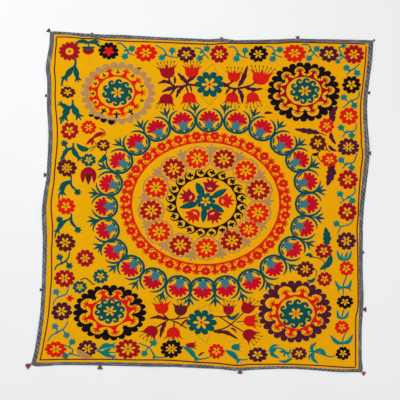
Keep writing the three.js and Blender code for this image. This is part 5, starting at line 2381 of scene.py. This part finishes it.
TOP_SPRAY = Spray(
    "top", (209.6, 84.5),
    (
        Flower(167.4, 71.5, 8.6, 7.2, -8, CRIMSON, 6), Flower(191.8, 71.2, 8.2, 7.0, 2, RED, 6),
        Flower(166.3, 100.2, 8.0, 6.6, 186, CRIMSON, 5), Flower(189.3, 99.0, 8.0, 6.8, 178, RED, 4),
        Flower(234.0, 76.0, 7.2, 6.4, 4, RED, 5), Flower(261.0, 77.2, 10.0, 8.0, 10, RED, 7),
        Flower(252.8, 98.4, 7.4, 6.4, 172, RED, 5), Flower(232.1, 98.6, 7.4, 6.4, 184, RED, 5),
    ),
    (
        ((196, 85.4), (188, 84.6), (184, 86.2), (175, 86.6), 3.0),
        ((175, 86.6), (170.4, 83), (168.6, 77), 2.6),
        ((176, 87), (172.4, 92), (169.6, 96), 2.4), ((186, 85.6), (189, 80), (190.6, 77), 2.6),
        ((186, 86), (187.4, 90), (188.4, 94), 2.0), ((223, 84), (233, 88.6), (243, 87.6), (250, 85.4), 2.6),
        ((224, 87), (231, 82.6), (234, 80), 2.2), ((236, 88.6), (233.6, 92), (233.6, 95), 2.8),
        ((250, 86), (255, 82.6), (257, 79.6), 2.0), ((246, 87.4), (251.6, 90), (253.2, 93.6), 2.0),
    ),
    (
        ((170.8, 83.6), (165, 81.4), (157.6, 83.4), 4.4), ((174.4, 84), (175, 80), (174.2, 75.6), 3.2),
        ((178.4, 87), (170, 88.6), (161.6, 92), 5.2), ((184.4, 86.4), (179.6, 90), (176, 98), 4.8),
        ((188, 83.4), (183.4, 79), (177.6, 73), 5.6), ((188, 81.6), (192, 78.6), (196.4, 76), 3.8),
        ((190, 85.4), (191, 88.4), (191.8, 92.6), 2.4), ((238, 87), (243, 79), (247.6, 65.6), 5.8),
        ((244, 87), (254, 89.6), (263, 88.4), 4.6), ((238, 89), (241.6, 95), (242.4, 103.6), 5.2),
        ((230, 87.6), (227, 84.6), (223.6, 82.6), 2.8), ((230, 88), (227.4, 91), (225.6, 94.6), 3.2),
    ),
    (
        ((202, 73), (207, 69), (212.5, 63.8), (215.4, 69), (217.6, 73.6)),
        ((201, 96.4), (205, 100), (209.7, 105), (213.6, 100.4), (217.4, 96.4)),
    ),
    PURPLE,
)
BOTTOM_SPRAY = Spray(
    "bottom", (201.3, 322.5),
    (
        Flower(161.7, 307.2, 8.2, 7.0, -6, RED, 4), Flower(180.8, 309.0, 7.6, 6.8, 4, MAROON, 3),
        Flower(150.8, 331.8, 8.0, 6.8, 214, CRIMSON, 4), Flower(173.3, 333.6, 8.0, 6.8, 180, RED, 4),
        Flower(228.6, 309.0, 6.4, 6.0, 2, CRIMSON, 4), Flower(248.0, 307.2, 8.0, 6.8, 24, CRIMSON, 4),
        Flower(251.0, 321.0, 7.6, 6.6, 92, RED, 4), Flower(249.8, 335.2, 7.8, 6.8, 128, CRIMSON, 4),
    ),
    (
        ((188.3, 317.5), (178, 318.8), (169.2, 319.6), 1.7),
        ((186.7, 328.3), (178, 323), (169.2, 319.6), 1.7),
        ((169.2, 319.6), (164, 315), (162, 312), 1.7), ((176, 318.6), (180, 315.6), (180.8, 313.6), 1.5),
        ((169.2, 319.6), (160, 325), (154.6, 328.4), 1.8), ((174, 321), (174, 326), (173.4, 329), 1.6),
        ((213.3, 316.3), (221, 316.8), (226.7, 316.3), (228.4, 313.6), 1.6),
        ((220, 317), (232, 325), (245, 332.5), 1.6),
        ((213.3, 330.8), (227.5, 326.7), (245.8, 310.8), 1.6), ((236.5, 321.9), (245, 321.3), 1.5),
    ),
    (
        ((168, 319.6), (158, 317), (149.6, 318.4), 4.6), ((166, 322), (162.4, 329), (160, 338), 5.2),
        ((188, 319), (184, 322), (180, 327), 2.6), ((226.4, 314.4), (232, 318.4), (239.6, 312.8), 4.8, TEAL),
        ((213, 331.6), (226, 332.4), (238, 339), 5.0), ((230.6, 328), (234.2, 329.6), (236.6, 333), 2.6),
    ),
    (
        ((194, 311), (201, 308), (208.6, 304.6), (210, 309.6), (211.6, 312)),
        ((196, 334), (201, 339), (206.5, 343), (208, 338.6), (209.6, 334.6)),
    ),
)


@dataclass
class SidePosies:
    """The small groups of flowers and leaves beside the great ring."""

    rosettes: tuple[Rosette, ...] = (
        Rosette(88.7, 127.4, 16, 14, RED, 10, SIX),
        Rosette(103.3, 145.2, 14, 12, MAROON, 8, FIVE, None),
        Rosette(88.7, 159.9, 15, 13, TEAL, 8, FIVE, BLACK),
        Rosette(85.1, 258.2, 18, 17, CRIMSON, 10, SIX),
        Rosette(100.5, 276.4, 16, 14.4, TEAL, 10, FIVE),
        Rosette(79.8, 287.1, 15, 12.8, TEAL, 9, FIVE),
        Rosette(326.7, 125.8, 16, 15, RED, 9, FIVE),
        Rosette(317.9, 142.9, 16.6, 16, MAROON, 9, FIVE, RED),
        Rosette(329.6, 160, 16.6, 15, RED, 9, FIVE),
        Rosette(323.8, 250.8, 17.4, 15, CRIMSON, 10, FIVE),
        Rosette(305.4, 269.2, 18, 16, MAROON, 10, SIX),
        Rosette(324.6, 279.2, 15.4, 14.6, CRIMSON, 9, FIVE),
    )
    stems: tuple = (
        ((99.5, 128), (103, 130), (105.3, 134.3), (101, 137), 1.3, CRIMSON),
        ((92.4, 139.5), (96.2, 145), (93, 149), (90.3, 151.6), 1.1, CRIMSON),
        ((86, 149), (91.2, 147.8), (95, 146), 1.1, TEAL),
        ((103, 156), (106, 154), (106.2, 150.6), 1.1, TEAL),
        ((80.5, 280), (84.8, 278.2), (89.4, 280.7), (93, 284.3), (95.5, 283.9), 1.4, MAROON),
        ((315, 134), (321, 133.4), (326.7, 135.8), 1.3, MAROON),
        ((325.8, 144.2), (326, 147), (327.5, 149.6), (330, 152.6), 1.2, MAROON),
        ((327, 150), (321, 150), (317.5, 153.8), (318.8, 158.3), (321.7, 161.7), 1.2, MAROON),
        ((309, 257), (318, 258), (324.2, 262), (325, 272), 1.2, TEAL),
        ((312.5, 267.5), (316.7, 271.7), (315, 278.3), 1.2, TEAL),
    )
    leaves: tuple = (
        ((93.6, 137.4), (90, 141), (86, 144.6), 3.4, 0, CRIMSON),
        ((93.6, 137.4), (92.4, 141), (92.4, 146), 2.6, 0, CRIMSON),
        ((104.6, 133), (98, 134.6), (92, 138.6), 4.2, 0, CRIMSON),
        ((89, 149.4), (82, 148.6), (76.4, 143.4), 5.4, 0, TEAL),
        ((105, 154), (103.4, 159), (97.6, 162.4), 4.6, 0, TEAL),
        ((334, 121.6), (332, 114), (337.4, 106), 8.6, 3, PURPLE),
        ((319.6, 132.8), (307, 131), (294.8, 129.2), 7.0, 4, PURPLE),
        ((330.6, 132), (331.6, 138), (335.8, 144.4), 5.2, 2, PURPLE),
        ((328.4, 145), (331.6, 149), (336.8, 151.4), 3.2, 0, PURPLE),
        ((318.6, 153), (315.4, 154.6), (311.6, 154), 3.2, 0, BLACK),
        ((330.4, 163), (331.4, 172), (327.2, 185.6), 11.0, 4, PURPLE),
        ((326, 246), (327, 238), (325.4, 227.4), 10.0, 4, TEAL),
        ((331.2, 254.6), (328.4, 263.4), (319.4, 270), 6.0, 0, TEAL),
        ((313, 257.6), (309, 254.6), (305, 256), 3.4, 0, TEAL),
        ((315.4, 278), (311, 281.4), (306.6, 279.6), 3.4, 0, TEAL),
    )

    def stitch(self) -> Stitching:
        """Stitch the groups.

        Returns:
            Their patches.
        """
        work = Stitching("posies")
        for *line, width, thread in self.stems:
            work.ribbon(thread, line, (width * 0.9, width, width * 0.7))
        for *line, width, teeth, thread in self.leaves:
            work.leaf(thread, line, width, teeth)
        for rosette in self.rosettes:
            rosette.stitch(work)
        for side in (-1, 1):
            petal = ((88.5 + side * 2.6, 168), (88.5 + side * 5.4, 174.6), (88.5 + side * 5.6, 183))
            work.leaf(CRIMSON, petal, 5.0)
        work.leaf(MAROON, ((88.5, 169), (88.5, 177), (88.5, 184.4)), 5.6, layer=1)
        work.patch(CRIMSON, Placing(88.5, 171, 5.6, 4.4), ROUND, layer=2)
        return work


MEDALLIONS = (
    CornerMedallion(
        "top_left", 118, 93.3, 38, 32, 26, (-15, 23, 58, 91, 130, 165, 193, 228, 253, 280, 312),
        MAUVE, RED, (116.1, 92.3, 19.3, 16.5), (117.4, 92.6, 14.4, 12.6), 0.76, True,
    ),
    CornerMedallion(
        "top_right", 303.7, 92, 36.8, 30.2, 27, (-9, 24, 58, 87, 121, 160, 194, 228, 257, 284, 317),
        BLACK, CRIMSON, (303.8, 91.2, 18.5, 15.2), (304.8, 90.9, 13.9, 12.2), 0.7,
    ),
    CornerMedallion(
        "bottom_left", 109.7, 312.7, 37.2, 28.3, 26, (-16, 19, 50, 79, 115, 168, 211, 252, 293),
        BLACK, RED, (109.8, 312.3, 17.9, 14.4), (109.9, 311, 14.5, 11.8), 0.7,
    ),
    CornerMedallion(
        "bottom_right", 294.9, 311.5, 37.3, 31.6, 28, (-25, 15, 53, 79, 115, 152, 193, 229, 261, 293),
        PURPLE, RED, (296.3, 312.8, 19.9, 17.4), (295.9, 313.7, 15.8, 13.5), 0.75,
    ),
)


def embroider(dye: Dye) -> list[tuple[Piece, Thread]]:
    """Stitch the whole pattern.

    Args:
        dye: the shared effects.

    Returns:
        The pieces with their threads.
    """
    finishes = {thread: SilkFinish(thread).material(dye) for thread in Thread}
    parts = [RimLine().stitch(), Border().stitch()]
    parts.extend(medallion.stitch() for medallion in MEDALLIONS)
    parts.append(RoundelRing().stitch())
    parts.extend(CentreMedallion().stitch())
    parts.extend((TOP_SPRAY.stitch(), BOTTOM_SPRAY.stitch(), SidePosies().stitch()))
    made = []
    for part in parts:
        made.extend(part.build(finishes))
    return made


def dress_stage() -> None:
    """Lay the pale floor, light it softly and set the camera straight above."""
    bpy.ops.object.select_all(action="DESELECT")
    floor_side, floor_drop, room_glow = 14.0, 0.0002, 0.66
    bpy.ops.mesh.primitive_plane_add(size=floor_side, location=(0, 0, -floor_drop))
    floor = bpy.context.active_object
    floor.name = "floor"
    material, bench, shader = new_material("pale_floor", 0.0, paint(255, 255, 255))
    place = bench.add("TexCoord").outputs["Object"]
    mottle = bench.ramp(bench.noise(place, 1.1, 2.0), 0.3, 0.7)
    bench.feed(shader.inputs["Base Color"], bench.blend(mottle, paint(238, 239, 241), paint(241, 242, 244)))
    shader.inputs["Roughness"].default_value = 0.9
    floor.data.materials.append(material)

    world = bpy.data.worlds.new("soft_room")
    world.use_nodes = True
    background = world.node_tree.nodes["Background"]
    background.inputs["Color"].default_value = (1.0, 1.0, 1.0, 1.0)
    background.inputs["Strength"].default_value = room_glow
    bpy.context.scene.world = world

    for name, place, size, power in (
        ("window_light", (-2.6, 2.4, 4.6), 3.4, 118.0),
        ("fill_light", (3.0, -1.6, 5.2), 4.2, 50.0),
    ):
        light = bpy.data.lights.new(name, "AREA")
        light.shape = "DISK"
        light.size = size
        light.energy = power
        lamp = bpy.data.objects.new(name, light)
        lamp.location = place
        x, y, z = place
        lamp.rotation_euler = (math.atan2(math.hypot(x, y), z), 0.0, math.atan2(y, x) + math.pi / 2)
        bpy.context.scene.collection.objects.link(lamp)

    lens, sensor, view_width = 70.0, 36.0, 400 * CHART.square
    view_y = (CHART.middle_y - 200) * CHART.square
    camera_data = bpy.data.cameras.new("overhead_camera")
    camera_data.lens = lens
    camera_data.sensor_width = sensor
    camera = bpy.data.objects.new("overhead_camera", camera_data)
    camera.location = (0.0, view_y, view_width * lens / sensor + CLOTH_THICKNESS)
    bpy.context.scene.collection.objects.link(camera)
    bpy.context.scene.camera = camera
    bpy.context.scene.view_settings.view_transform = "Standard"


def main() -> None:
    """Build the cover's pieces in order and report each one."""
    logging.basicConfig(level=logging.INFO, format="%(message)s")
    dress_stage()
    dye = Dye()
    panel = GroundCloth().build(dye)
    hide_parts("ground_cloth")
    carried = []
    for name, piece in zip(SIDE_ENDS, Edging().build(dye)):
        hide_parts("edging_" + name)
        carried.append(piece)
    tassels = Tassels()
    for plan, piece in zip(tassels.plans, tassels.build(dye)):
        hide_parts("tassel_" + plan.name)
        carried.append(piece)
    for piece, thread in embroider(dye):
        carried.append(piece)
    for piece in (panel, *carried):
        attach(piece, BODY)
        LOG.info("%s: %d faces", piece.name, len(piece.data.polygons))


if __name__ == "__main__":
    main()
